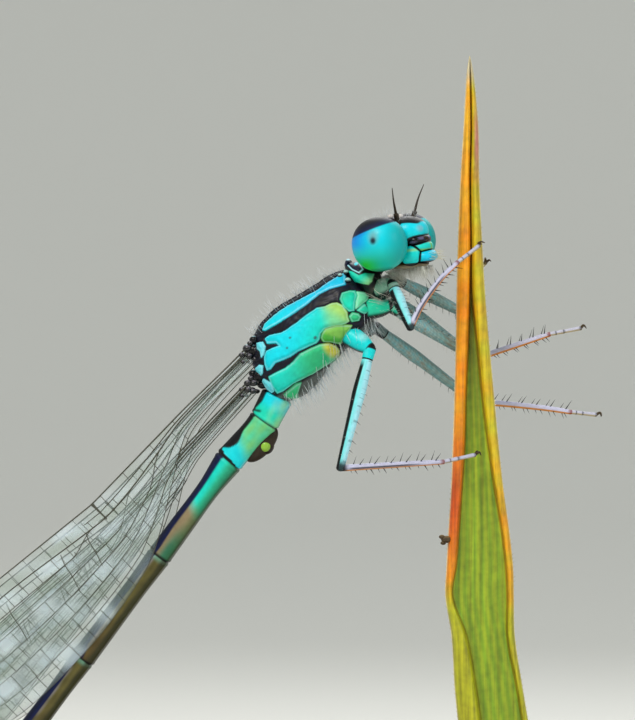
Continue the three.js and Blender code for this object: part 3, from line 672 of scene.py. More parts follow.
def crown_paint(unit, point):
    # Black knob with painted glints: lilac-navy over its top.
    return mix(BLACK, mix(NAVY, LILAC, 0.5), 0.6 * step(0.7, 0.95, unit.z)), 0.3


EYE = {"offset": 1.12, "length": 0.9, "width": 0.78, "height": 0.87}
EYE_GREEN = linear("#22C024")
# The eye's dark cap lies above a line across it, given by its height at the middle and its slope.
EYE_CAP = {"height": 0.49, "slope": 0.29}


def eye_shape(way):
    """An eye: blue behind, teal below with a green patch, a dark cap, and the spot that looks back."""
    def shape(t, turn):
        pole = math.cos(math.pi * t)
        ring = math.sin(math.pi * t)
        unit = Vector((ring * math.cos(turn), pole * way, ring * math.sin(turn)))
        unit = Vector([math.copysign(abs(u) ** 0.95, u) for u in unit])
        local = Vector((EYE["length"] * unit.x, EYE["width"] * unit.y, EYE["height"] * unit.z))
        mirrored = Vector((local.x, -abs(local.y) * (1 if unit.y * way > 0 else -1), local.z))
        seen = HEAD_TURN.to_matrix() @ mirrored
        rear = step(0.2, -0.6, local.x)
        colour = mix(CYAN * 0.92, SKY, rear * step(-0.4, 0.1, local.z))
        colour = mix(colour, TEAL * 0.72, 0.85 * step(0.2, -0.55, local.z))
        colour = mix(colour, mix(CYAN, TEAL, 0.5) * 0.55, 0.8 * step(0.35, 0.85, local.x))
        colour = mix(colour, EYE_GREEN, 0.95 * bump(-0.32, 0.72, local.x) * step(-0.24, -0.62, local.z))
        colour = mix(colour, TEAL * 0.2, 0.8 * step(-0.7, -0.87, local.z))
        spot = math.hypot((seen.x + 0.12) / 0.1, (seen.z - 0.09) / 0.12)
        haze = math.hypot((seen.x + 0.12) / 0.24, (seen.z - 0.2) / 0.3)
        if mirrored.y < 0:
            colour = mix(colour, mix(GREY, SLATE, 0.5), 0.6 * step(1.1, 0.1, haze))
            colour = mix(colour, NAVY * 0.2, 0.95 * step(1.4, 0.3, spot))
        cap = local.z - EYE_CAP["slope"] * local.x - EYE_CAP["height"]
        colour = mix(colour, SKY * 0.8, 0.8 * step(-0.16, -0.02, cap) * step(0.2, -0.5, local.x))
        colour = mix(colour, mix(BLACK, NAVY * 0.6, step(0.3, 0.0, cap)), step(-0.02, 0.03, cap))
        return Vector((local.x, local.y + EYE["offset"] * way, local.z)), colour, 0.42
    return shape


def eyes():
    for side, way in SIDES.items():
        bm = new_mesh()
        skin(bm, 110, 160, eye_shape(way), head_matrix)
        finished(f"eye_{side}_cornea", bm, EYE_CORNEA, f"eye_{side}", slot="eye")


def rod_shape(points, radii, paint, flat=1.0):
    """A round rod along a smooth line through points, with a radius at each."""
    rows = [(k, *point, radius) for k, (point, radius) in enumerate(zip(points, radii))]
    last = len(points) - 1
    whole = (Vector(points[-1]) - Vector(points[0])).normalized()
    reference = Vector((0, 1, 0)) if abs(whole.y) < 0.8 else Vector((1, 0, 0))

    def shape(t, turn):
        inner = min(1.0, max(0.0, (t - 0.06) / 0.88))
        x, y, z, radius = flow(rows, inner * last)
        before, after = flow(rows, max(0, inner - 0.01) * last), flow(rows, min(1, inner + 0.01) * last)
        along = (Vector(after[:3]) - Vector(before[:3])).normalized()
        side = reference.cross(along).normalized()
        up = along.cross(side)
        past = max(0.0, 0.06 - t) - max(0.0, t - 0.94)
        size = math.sqrt(max(0.0, 1 - (past / 0.06) ** 2))
        centre = Vector((x, y, z)) - along * (past / 0.06) * radius * 0.8
        out = side * math.cos(turn) + up * math.sin(turn) * flat
        colour, roughness = paint(inner, out)
        return centre + out * radius * size, colour, roughness
    return shape


def antennae():
    for side, way in SIDES.items():
        bm = new_mesh()
        root = Vector((0.46, 0.58 * way, 0.6))
        aim = Vector((0.11, 0.45 * way, 0.93)).normalized()
        black = lambda t, out: (mix(BLACK, BROWN * 0.4, 0.3), 0.35)
        scape = [root, root + aim * 0.16]
        pedicel = [root + aim * 0.16, root + aim * 0.34]
        lash = [root + aim * 0.32, root + aim * 0.8 + Vector((0.02, 0.03 * way, 0)),
                root + aim * 1.28 + Vector((0.09, 0.1 * way, 0))]
        skin(bm, 14, 14, rod_shape(scape, [0.11, 0.1], black), head_matrix)
        skin(bm, 14, 14, rod_shape(pedicel, [0.08, 0.085], black), head_matrix)
        skin(bm, 40, 10, rod_shape(lash, [0.05, 0.028, 0.012], black), head_matrix)
        finished(f"antenna_{side}_lash", bm, CUTICLE, f"antenna_{side}", slot="horn")


# Abdomen
ABDOMEN_ROOT = Vector((-1.32, 0, -1.86))
# Each segment's length, pitch below the horizontal, and half height at its start, waist and end.
ABDOMEN = [(0.86, 62, 0.56, 0.55, 0.53), (1.75, 48, 0.52, 0.48, 0.5), (3.85, 53.5, 0.49, 0.39, 0.42),
           (4.2, 53, 0.42, 0.39, 0.42), (3.95, 53, 0.41, 0.38, 0.42), (3.45, 53, 0.42, 0.4, 0.44),
           (2.8, 53.5, 0.44, 0.45, 0.5), (1.65, 54, 0.5, 0.53, 0.53), (1.0, 54, 0.52, 0.5, 0.46),
           (0.6, 54, 0.44, 0.42, 0.36)]


def abdomen_line():
    """Rows of distance, x, z and half height down the abdomen's middle, and where each segment starts."""
    rows, starts = [], []
    distance, place = 0.0, ABDOMEN_ROOT.copy()
    for length, pitch, start, waist, end in ABDOMEN:
        back = Vector((-math.cos(math.radians(pitch)), 0, -math.sin(math.radians(pitch))))
        starts.append(distance)
        for share, size in ((0.04, start), (0.3, waist), (0.7, 0.5 * (waist + end)), (0.97, end)):
            point = place + back * (share * length)
            rows.append((distance + share * length, point.x, point.z, size))
        place += back * length
        distance += length
    return rows, starts + [distance]


ABDOMEN_ROWS, SEGMENT_STARTS = abdomen_line()
# The dark mound under the second segment, long, wide and deep
MOUND = {"distance": 1.5, "depth": 0.4, "radii": (0.72, 0.24, 0.36)}
# The two pairs of claspers at the end: rise and spread of the root, length and thickness
CLASPERS = [(0.16, 0.17, 0.44, 0.12), (-0.15, 0.13, 0.36, 0.11)]


def abdomen_paint(distance, up):
    """Colour and roughness at a distance down the abdomen. up is 1 on the back and -1 below."""
    index = max(k for k in range(10) if distance >= SEGMENT_STARTS[k] or k == 0)
    length = ABDOMEN[index][0]
    share = (distance - SEGMENT_STARTS[index]) / length
    segment = index + 1
    fleck = 0.5 + 0.5 * math.sin(5.3 * distance + 3 * up) * math.sin(2.9 * distance - 7 * up)
    drab = mix(mix(OLIVE, TAN, 0.45), BROWN, step(0.3, 0.95, share) * 0.7) * (0.42 + 0.25 * fleck)
    if segment == 1:
        colour = mix(mix(CYAN, TEAL, step(0.1, 0.7, share)), LIME, 0.5 * step(0.2, -0.5, up) * fleck)
        back_edge = 0.62 + 0.2 * step(0.3, 0.8, share)
        colour = mix(colour, BLACK, bump(0.78, 0.1, share + 0.25 * (0.7 - up)) * step(0.3, 0.5, up))
    elif segment == 2:
        colour = mix(mix(TEAL, mix(GREEN, LIME, 0.45), 0.35 + 0.35 * fleck), mix(CYAN, TEAL, 0.2),
                     step(0.45, 0.75, share + 0.15 * up))
        back_edge = 0.62 - 0.3 * bump(0.62, 0.28, share) + 0.25 * bump(0.88, 0.1, share)
        back_edge -= 1.2 * step(0.9, 0.95, share)
    elif segment == 3:
        colour = mix(mix(CYAN, TEAL, 0.75), mix(GREEN, TEAL, 0.3), step(0.25, -0.3, up) * 0.6)
        colour = mix(colour, mix(TAN, GREY, 0.4), step(0.42, 0.56, share + 0.06 * up))
        colour = mix(colour, mix(TEAL, OLIVE, 0.5) * 0.5, step(0.6, 0.9, share) * step(0.35, -0.3, up))
        # Painted shade: the lower side darkens towards black-green.
        colour = mix(colour, mix(BLACK, GREEN, 0.25), 0.6 * step(0.1, -0.6, up))
        back_edge = 0.42 - 0.12 * step(0.7, 0.95, share)
    elif segment <= 7:
        # Painted reflection of the wings: grey-lilac flecks over the upper side.
        colour = mix(drab, mix(GREY, LILAC, 0.4) * 0.7, 0.7 * step(0.0, 0.3, up) * fleck)
        colour = mix(colour, mix(TEAL, GREY, 0.5), 0.55 * bump(0.0, 0.05, share))
        back_edge = 0.3 - 0.3 * step(0.86, 0.97, share)
    elif segment == 8:
        colour, back_edge = mix(SKY, CYAN, 0.45), 2.0
    elif segment == 9:
        colour, back_edge = mix(SKY, CYAN, 0.35), 0.25
    else:
        colour, back_edge = BROWN * 0.4, 0.1
    back = step(back_edge - 0.05, back_edge + 0.05, up)
    top = mix(BLACK, NAVY * 0.8, 0.35 + 0.5 * bump(back_edge + 0.1, 0.4, up)) if segment > 2 else BLACK
    colour = mix(colour, top, back)
    # Darker below: a real black line along the belly on most segments, widened into painted shade over the
    # lower side on segments 3 to 7.
    belly_line_and_shade = -0.3 if 4 <= segment <= 7 else -0.6 if segment == 3 else -0.9
    colour = mix(colour, mix(BLACK, OLIVE, 0.15), 0.85 * step(belly_line_and_shade + 0.1, belly_line_and_shade - 0.25, up))
    to_end = length * (1 - share)
    if segment not in (8, 9):
        colour = mix(colour, BLACK, 0.95 * step(0.14 if segment > 2 else 0.05, 0.03, to_end))
    return colour, 0.44


def abdomen_shape(t, turn):
    """The abdomen's skin, from its root, pinched and swollen a little at each joint."""
    total = SEGMENT_STARTS[-1]
    distance = -0.12 + t * (total + 0.12)
    x, z, size = flow(ABDOMEN_ROWS, distance)
    after = flow(ABDOMEN_ROWS, min(total - 0.05, distance + 0.3))
    before = flow(ABDOMEN_ROWS, max(0.05, distance - 0.3))
    back = Vector((after[0] - before[0], 0, after[1] - before[1])).normalized()
    up = Vector((back.z, 0, -back.x))
    if distance < 0.05:
        x, z = ABDOMEN_ROOT.x + back.x * distance, ABDOMEN_ROOT.z + back.z * distance
    if distance > total - 0.05:
        last = flow(ABDOMEN_ROWS, total - 0.05)
        x, z = last[0] + back.x * (distance - total + 0.05), last[1] + back.z * (distance - total + 0.05)
    nearest = min(abs(distance - start) for start in SEGMENT_STARTS[1:-1])
    size *= 1 - 0.1 * bump(0, 0.05, nearest) + 0.03 * bump(0.09, 0.07, nearest)
    size *= math.sqrt(max(0.0, 1 - max(0.0, (distance - total + 0.12) / 0.12) ** 2))
    size *= math.sqrt(max(0.0, 1 - max(0.0, -distance / 0.12) ** 2))
    cos, sin = math.cos(turn), math.sin(turn)
    belly = 1 - 0.12 * step(-0.75, -1.0, sin)
    colour, roughness = abdomen_paint(distance, sin)
    centre = Vector((x, 0, z))
    return centre + Vector((0, 0.92 * size * cos, 0)) + up * (size * sin * belly), colour, roughness


def abdomen_frame(distance):
    """The middle of the abdomen, with its backward and upward directions, at a distance down it."""
    x, z = flow(ABDOMEN_ROWS, distance)[:2]
    pitch = math.radians(next(row[1] for row, end in zip(ABDOMEN, SEGMENT_STARTS[1:]) if distance <= end))
    back = Vector((-math.cos(pitch), 0, -math.sin(pitch)))
    return Vector((x, 0, z)), back, Vector((-math.sin(pitch), 0, math.cos(pitch)))


def abdomen():
    bm = new_mesh()
    skin(bm, 620, 72, abdomen_shape, body_matrix)
    middle, back, up = abdomen_frame(MOUND["distance"])
    below = Matrix((back, Vector((0, 1, 0)), -up)).transposed().to_4x4()
    mound = body_matrix @ Matrix.Translation(middle - up * MOUND["depth"]) @ below
    skin(bm, 60, 60, oval((0, 0, 0), MOUND["radii"], plain(mix(BLACK, BROWN, 0.14), 0.45)), mound)
    skin(bm, 30, 40, oval((-0.05, 0, 0.12), (0.3, 0.2, 0.3), plain(mix(BLACK, BROWN, 0.1), 0.3)), mound)
    bead = plain(mix(LEAF_GREEN, LIME, 0.5), 0.25)
    for way in SIDES.values():
        skin(bm, 24, 28, oval((-0.05, 0.13 * way, 0.15), (0.18, 0.14, 0.18), bead), mound)
    end, back, up = abdomen_frame(SEGMENT_STARTS[-1] - 0.1)
    for way in SIDES.values():
        for rise, spread, length, radius in CLASPERS:
            root = end + up * rise + Vector((0, spread * way, 0))
            bend = root + back * (length * 0.6) + up * (0.1 * rise) + Vector((0, 0.04 * way, 0))
            tip = root + back * length - up * (0.4 * rise) - Vector((0, 0.06 * way, 0))
            clasper = rod_shape([root, bend, tip], [radius, radius, 0.04], horn_paint)
            skin(bm, 20, 16, clasper, body_matrix)
    nodes = [f"abdomen_{k:02d}" for k in range(1, 11)]
    finished("abdomen_skin", bm, CUTICLE, *nodes, slot="cuticle")


def horn_paint(t, out):
    """The brown black of claspers and claws."""
    return mix(BLACK, BROWN, 0.3), 0.35


# Wings: a clear pleated membrane, with a network of veins raised from it
FOREWING = {"root": Vector((-2.34, 0, -0.32)), "pitch": 45.6, "bend": 7, "root_offset": 0.52, "layer": 1.14,
            "margin": [(0, 0.5), (3, 0.56), (4.2, 1.15), (6.6, 2.5), (9, 3.3), (11.5, 3.75), (13.8, 3.85),
                       (15.8, 3.4), (17.2, 2.6), (18.1, 1.5)]}
HINDWING = {"root": Vector((-2.34, 0, -1.45)), "pitch": 45.4, "bend": 4, "root_offset": 0.46, "layer": 0.35,
            "margin": [(0, 0.36), (2.8, 0.52), (4, 0.82), (5.8, 1.12), (8, 1.5), (10.5, 1.95), (13, 2.4),
                       (14.8, 2.5), (16.2, 2.1), (17, 1.35)]}
NODUS = 6.95
WING_TIP = {"length": 3.6, "drop": 1.3, "power": 2.2}
WING_SPREAD = {"start": 0.2, "end": 3.0}
# The lengthwise veins: the vein that each leaves, where it does so, its share of the width near and far
# from there, and where it ends as a share of the wing's length.
LONG_VEINS = [(None, 0.0, 0.0, 0.0, 1.0), (None, 0.0, 0.2, 0.09, 0.42), (None, 0.0, 0.34, 0.14, 1.0),
              (2, 7.4, 0.42, 0.28, 1.0), (2, 5.6, 0.5, 0.42, 0.97), (2, 4.0, 0.58, 0.56, 0.93),
              (None, 0.0, 0.68, 0.7, 0.88), (8, 3.6, 0.86, 0.85, 0.82), (None, 0.0, 1.0, 1.0, 1.0)]
BRANCHING = 1.3
VEIN_RADIUS = {"edge": 0.03, "main": 0.016, "cross": 0.011}
VEIN_STEPS = 72
VEIN_TAPER = 0.55
MEMBRANE_THICKNESS = 0.008
WING_MARGIN = 0.02
WING_SPOT = (0.868, 0.912)
WING_GREY = linear("#8FA596")
WING_GLINT_WHITE = linear("#DCEBF6")
# The small hard lumps at a wing's root: distance along it, share of its width and size
SCLERITES = [(-0.12, 0.1, 0.13), (0.02, 0.55, 0.11), (-0.26, 0.5, 0.12), (0.16, 0.12, 0.1), (-0.3, 0.0, 0.1),
             (-0.05, 0.95, 0.1), (0.3, 0.5, 0.07)]


def wing_frame(wing, way):
    """A function from distance along a wing and share of its width to a point, and the wing's length."""
    pitch = math.radians(wing["pitch"])
    out = Vector((-math.cos(pitch), 0, -math.sin(pitch)))
    down = Vector((math.sin(pitch), 0, -math.cos(pitch)))
    length = wing["margin"][-1][0]

    def place(x, share, lift=0.0):
        bend = max(0, x - NODUS) * math.tan(math.radians(wing["bend"]))
        end = max(0.0, 1 - (length - x) / WING_TIP["length"])
        top = WING_TIP["drop"] * end ** WING_TIP["power"] - bend
        bottom = flow(wing["margin"], x)[0] - bend
        settled = step(WING_SPREAD["start"], WING_SPREAD["end"], x)
        left = way * (wing["root_offset"] + (wing["layer"] - wing["root_offset"]) * settled + lift)
        return wing["root"] + out * x + down * (top + (bottom - top) * share) + Vector((0, left, 0))
    return place, length


def own_share(vein, x, length):
    """A vein's share of the wing's width, wherever it starts."""
    near, far = LONG_VEINS[vein][2:4]
    return near + (far - near) * step(2.5, 0.62 * length, x)


def vein_share(vein, x, length):
    """A vein's share of the wing's width, on its parent's line where it leaves it."""
    parent, start = LONG_VEINS[vein][:2]
    own = own_share(vein, x, length)
    if parent is None or x >= start + BRANCHING:
        return own
    along = step(start, start + BRANCHING, x)
    return own * along + own_share(parent, x, length) * (1 - along)


def pleat(vein):
    """How far a lengthwise vein stands out of the wing's plane, ridge and valley by turns."""
    return 0.03 if vein % 2 else -0.03


def vein_tube(bm, line, radii, colour, sides=5):
    """A thin tube along a line of points, in millimetres, made from a grid."""
    markings = bm.verts.layers.float_color["markings"]
    grid = bmesh.ops.create_grid(bm, x_segments=len(line) - 1, y_segments=sides, size=0.5)
    along = [(b - a).normalized() for a, b in zip(line, line[1:])]
    along.append(along[-1])
    for vert in grid["verts"]:
        k = round((vert.co.x + 0.5) * (len(line) - 1))
        turn = (vert.co.y + 0.5) * math.tau
        side = along[k].cross(Vector((0, 1, 0))).normalized()
        out = side * math.cos(turn) + along[k].cross(side) * math.sin(turn)
        vert.co = body_matrix @ (line[k] + out * radii[k]) * MM
        vert[markings] = (*colour, 0.4)
    bmesh.ops.remove_doubles(bm, verts=grid["verts"], dist=WELD)


def long_veins(bm, place, length, dark):
    """The lengthwise veins, each tied to the vein that it leaves."""
    for vein, (parent, start, _, _, end) in enumerate(LONG_VEINS):
        stop = min(length - WING_MARGIN, end * length)
        xs = [start + (stop - start) * k / VEIN_STEPS for k in range(VEIN_STEPS + 1)]
        line = [place(x, vein_share(vein, x, length), pleat(vein)) for x in xs]
        thick = VEIN_RADIUS["edge" if vein < 3 else "main"]
        radii = [thick * (1 - VEIN_TAPER * k / VEIN_STEPS) for k in range(VEIN_STEPS + 1)]
        vein_tube(bm, line, radii, dark)
        if start > 0:
            joined = [place(start, vein_share(vein, start, length), pleat(parent)), line[0]]
            vein_tube(bm, joined, [VEIN_RADIUS["main"]] * 2, dark, 4)


def cross_veins(bm, place, length, dark, draw):
    """The cross veins, closer together past the wing's node, and its strong braces."""
    present = [[k for k, (_, start, _, _, end) in enumerate(LONG_VEINS)
                if start + 0.25 * BRANCHING <= x / 10 <= end * length] for x in range(int(10 * length) + 1)]
    for vein in range(len(LONG_VEINS) - 1):
        x = 3.4 if vein else 3.0
        x += draw.uniform(0.0, 0.6)
        while x < length - WING_MARGIN - 0.3:
            here = present[int(10 * x)]
            if vein in here and vein + 1 <= here[-1]:
                other = here[here.index(vein) + 1]
                ends = [place(x, vein_share(k, x, length), pleat(k)) for k in (vein, other)]
                wide = (ends[1] - ends[0]).length
                if wide > 0.06:
                    vein_tube(bm, ends, [VEIN_RADIUS["cross"]] * 2, dark, 4)
                x += draw.uniform(0.85, 1.15) * (0.5 + 0.4 * wide if x > NODUS else 1.2)
            else:
                x += 0.3
    nodus = [place(NODUS, share, 0.0) for share in (0.0, 0.06, 0.14, 0.26)]
    vein_tube(bm, nodus, [0.06, 0.04, 0.035, 0.02], dark, 6)
    for x in (NODUS + 0.8, NODUS + 1.9, 0.62 * length):
        brace = [place(x + 0.12 * k, share, pleat(k)) for k, share in enumerate((0.2, 0.3, 0.45, 0.58))]
        vein_tube(bm, brace, [VEIN_RADIUS["main"]] * 4, dark, 5)


def membrane(bm, place, length):
    """The clear sheet between the veins, pleated along them, with painted glints and the coloured spot near
    the tip.
    """
    painted = bm.verts.layers.float_color["markings"]
    bands = len(LONG_VEINS) - 1
    grid = bmesh.ops.create_grid(bm, x_segments=240, y_segments=bands * 3, size=0.5)
    for vert in grid["verts"]:
        x = (vert.co.x + 0.5) * (length - WING_MARGIN)
        band = (vert.co.y + 0.5) * bands
        low = min(int(band), bands - 1)
        part = band - low
        share = (1 - part) * own_share(low, x, length) + part * own_share(low + 1, x, length)
        lift = (1 - part) * pleat(low) + part * pleat(low + 1)
        vert.co = body_matrix @ place(x, share, lift) * MM
        # Painted reflections: the sheet whiter and less clear in a wavy pattern of glints, more so further out
        # along the wing.
        glint = math.sin(2.1 * x + 1.9 * low) * math.sin(1.3 * x - 0.8 * low + 2.4 * share)
        colour = mix(WING_GREY, WING_GLINT_WHITE, 0.5 + 0.5 * glint)
        opacity = 0.13 + 0.2 * step(0.1, 0.9, glint) * step(5.0, 9.0, x)
        spot_start, spot_end = (end * length for end in WING_SPOT)
        if spot_start < x < spot_end and low < 2 and share < 0.12:
            near_half = x < 0.5 * (spot_start + spot_end)
            colour, opacity = (BLACK if near_half else mix(CREAM, GREY, 0.4)), 0.95
        vert[painted] = (*colour, opacity)
    bmesh.ops.recalc_face_normals(bm, faces=bm.faces)
    bmesh.ops.solidify(bm, geom=bm.faces[:], thickness=MEMBRANE_THICKNESS * MM)


def wing(side, way, pair, shape, draw):
    place, length = wing_frame(shape, way)
    veins = new_mesh()
    dark = mix(BLACK, mix(GREY, OLIVE, 0.5), 0.2)
    long_veins(veins, place, length, dark)
    cross_veins(veins, place, length, dark, draw)
    for x, share, size in SCLERITES:
        point = place(x, share) + Vector((0, draw.uniform(-0.06, 0.06), 0))
        skin(veins, 14, 16, oval(point, (size, size * 0.8, size * 0.8), sclerite_paint), body_matrix)
    finished(f"{pair}wing_{side}_veins", veins, VEIN, slot="wing")
    sheet = new_mesh()
    membrane(sheet, place, length)
    finished(f"{pair}wing_{side}_membrane", sheet, MEMBRANE, f"{pair}wing_{side}", slot="wing")


def sclerite_paint(unit, point):
    # Black lump with painted glints: grey-lilac over its top and front.
    return mix(BLACK, mix(GREY, LILAC, 0.5), 0.7 * step(0.55, 0.9, unit.z + 0.2 * unit.x)), 0.28


def wings():
    draw = random.Random(7)
    for side, way in SIDES.items():
        wing(side, way, "fore", FOREWING, draw)
        wing(side, way, "hind", HINDWING, draw)


# Legs, from the thorax's centre: x towards the blade, y away from the viewer, z up
LEGS = {
    "fore_right": {"coxa": (2.0, -0.55, 1.62), "trochanter": (2.38, -0.98, 1.76), "knee": (2.94, -1.75, 0.39),
                   "ankle": (4.46, -1.05, 2.48), "claw": (5.26, -0.52, 3.1), "bristles": (-0.75, -0.2, 0.6)},
    "middle_right": {"coxa": (1.5, -0.5, 0.98), "trochanter": (2.3, -0.45, 1.08), "knee": (4.95, 1.15, -0.5),
                     "ankle": (5.12, 0.9, -2.6), "claw": (5.16, 0.56, -3.4), "bristles": (0, 1, 0.1)},
    "hind_right": {"coxa": (0.95, -0.6, 0.2), "trochanter": (1.66, -1.0, -0.28), "knee": (0.7, -1.9, -4.08),
                   "ankle": (4.0, -1.05, -3.9), "claw": (5.17, -0.56, -3.66), "bristles": (0, -0.2, 1)},
    "fore_left": {"coxa": (1.95, 0.2, 1.62), "trochanter": (2.5, 0.34, 1.98), "knee": (5.2, 2.0, 0.68),
                  "ankle": (5.16, 1.0, 2.2), "claw": (5.46, 0.5, 2.56), "bristles": (0, 1, 0.6)},
    "middle_left": {"coxa": (1.5, 0.5, 1.15), "trochanter": (2.3, 0.88, 1.46), "knee": (5.16, 2.15, -0.6),
                    "ankle": (7.55, 1.5, 0.2), "claw": (8.7, 1.4, 0.42), "bristles": (-0.28, 0.1, 0.95)},
    "hind_left": {"coxa": (1.1, 0.5, 0.3), "trochanter": (1.86, 0.72, 0.42), "knee": (5.16, 2.2, -2.02),
                  "ankle": (8.3, 2.3, -2.35), "claw": (9.24, 2.3, -2.45), "bristles": (0.04, 0.1, 1)},
}
# The far legs and the middle near one are a mottled slate blue.
MOTTLED = ("middle_right", "fore_left", "middle_left", "hind_left")


def thigh_paint(name, dark_side):
    """Pale blue thigh with one black stripe, or a mottled slate one."""
    def paint(t, out):
        if name in MOTTLED:
            fleck = math.sin(31 * t + 5 * out.z) * math.sin(19 * t - 7 * out.x) * math.sin(11 * out.y + 9 * t)
            rough = math.sin(97 * t + 11 * out.z) * math.sin(63 * t - 13 * out.x)
            colour = mix(mix(SLATE, CYAN, 0.12), mix(GREY, BROWN, 0.2), 0.45 + 0.45 * fleck) * 1.45
            dark = 0.45 * step(0.3, 0.6, fleck) * step(-0.2, 0.5, rough)
            colour = mix(colour * (1 + 0.25 * rough), BLACK, dark)
            # Painted shade: the thigh darker along its top and its underside.
            colour = mix(colour, BLACK, 0.3 * step(0.1, 0.9, out.z) + 0.25 * step(-0.2, -0.9, out.z))
            return mix(colour, BLACK, 0.8 * step(0.95, 1.0, t)), 0.6
        stripe = step(0.72, 0.8, out.dot(dark_side))
        colour = mix(mix(CYAN, WHITE, 0.45), mix(CYAN, TEAL, 0.5), 0.6 * step(0.5, -0.6, out.y * 0.2 + out.x))
        colour = mix(colour, BLACK, stripe * step(0.02, 0.1, t))
        speck = math.sin(60 * t) * step(0.1, 0.3, out.x)
        colour = mix(colour, BLACK, 0.5 * step(0.93, 1.0, speck))
        return mix(colour, BLACK, 0.95 * step(0.95, 0.99, t)), 0.42
    return paint


HIP_COLOURS = {"hind_right": mix(CYAN, TEAL, 0.35), "middle_right": mix(TEAL, GREEN, 0.25),
               "fore_right": mix(GREY, TEAL, 0.35) * 0.8}


def hip_paint(name):
    """The leg's first two joints: cyan plates edged with black near by, slate beyond, with a painted highlight
    on top.
    """
    def paint(t, out):
        base = HIP_COLOURS.get(name, mix(SLATE, GREY, 0.4) * 0.7)
        # Painted highlight: whitish along the top, midway along the joints.
        colour = mix(base, mix(WHITE, base, 0.4), 0.5 * bump(0.55, 0.3, t) * step(0.2, 0.7, out.z))
        dark = max(step(0.1, 0.03, t), step(0.93, 0.98, t), step(-0.4, -0.75, out.z))
        return mix(colour, BLACK, dark), 0.4
    return paint


def shin_paint(dark_side, under):
    """Pale lilac shin, orange below, with a black streak towards the viewer."""
    def paint(t, out):
        colour = mix(mix(WHITE, LILAC, 0.7) * 0.85, mix(TAN, ORANGE, 0.6), step(0.3, 0.6, out.dot(under)))
        streak = step(0.3, 0.5, out.dot(dark_side)) * bump(0.1, 0.5, out.dot(under)) * step(0.8, 0.6, t)
        colour = mix(colour, BLACK, max(streak * step(0.05, 0.15, t), step(0.1, 0.03, t)))
        return mix(colour, mix(RUST, BLACK, 0.65), 0.8 * step(0.95, 1.0, t)), 0.4
    return paint


def toe_paint(under):
    """A pale foot joint with dark ends."""
    def paint(t, out):
        colour = mix(mix(WHITE, LILAC, 0.6) * 0.75, mix(TAN, CREAM, 0.3), step(0.1, 0.5, out.dot(under)))
        return mix(colour, BLACK, max(0.7 * step(0.86, 1.0, t), 0.5 * step(0.12, 0.0, t))), 0.4
    return paint


# How far each shin bows towards its upper bristles, as a share of its length.
BOW = {"fore_right": 0.05, "middle_right": 0.01, "hind_right": 0.0, "fore_left": 0.02, "middle_left": 0.0,
       "hind_left": 0.012}
THIGH_RADII = [0.17, 0.215, 0.195, 0.13]
SHIN_RADII = [0.105, 0.1, 0.092, 0.08]
# Where the foot's joints part, as shares of its length
TOE_MARKS = [0.0, 0.2, 0.42, 0.9]


def cone(bm, root, direction, length, radius, colour, matrix, sides=4, patch=None):
    """A tapered spine or hair, with its root sunk a little in what it grows from. patch is a hair's
    place on the baking map."""
    markings = bm.verts.layers.float_color["markings"]
    turn = direction.to_track_quat("Z", "Y").to_matrix().to_4x4()
    centre = root + direction.normalized() * (length / 2)
    placed = Matrix.Scale(MM, 4) @ matrix @ Matrix.Translation(centre) @ turn
    made = bmesh.ops.create_cone(bm, segments=sides, radius1=radius, radius2=radius * 0.15, depth=length,
                                 cap_ends=True, matrix=placed)
    for vert in made["verts"]:
        vert[markings] = (*colour, 0.4)
    if patch:
        baking = bm.loops.layers.uv["OFBake"]
        for k, vert in enumerate(made["verts"]):
            for loop in vert.link_loops:
                loop[baking].uv = Vector(patch) + Vector((k % sides, k // sides)) * (PATCH_SIZE / sides)


def outer_side(name):
    """The way that a leg's outer side faces."""
    return Vector((-0.87, -0.48, 0.1) if name.endswith("right") else (0.2, 0.9, 0.3)).normalized()


def thigh(name, coxa, trochanter, knee, bristles, draw):
    """The leg's two short first joints and its thigh, with a row of small bristles."""
    bm = new_mesh()
    hip = [coxa, coxa.lerp(trochanter, 0.6), trochanter]
    skin(bm, 34, 36, rod_shape(hip, [0.34, 0.31, 0.2], hip_paint(name)), leg_matrix)
    hip_end = trochanter.lerp(knee, 0.09)
    skin(bm, 26, 30, rod_shape([trochanter, hip_end], [0.2, 0.18], hip_paint(name)), leg_matrix)
    middle = trochanter.lerp(knee, 0.5) + bristles * 0.02
    line = [hip_end, hip_end.lerp(middle, 0.6), middle, knee]
    skin(bm, 110, 36, rod_shape(line, THIGH_RADII, thigh_paint(name, outer_side(name))), leg_matrix)
    along = (knee - trochanter).normalized()
    out = (along.cross(Vector((0, 1, 0))) * (1 if name.endswith("right") else -1)).normalized()
    for k in range(9):
        root = trochanter.lerp(knee, 0.2 + 0.08 * k)
        cone(bm, root + out * 0.15, out + along * 0.6, draw.uniform(0.14, 0.22), 0.012, BLACK, leg_matrix)
    finished(f"thigh_{name}", bm, CUTICLE, f"femur_{name}", slot="leg")


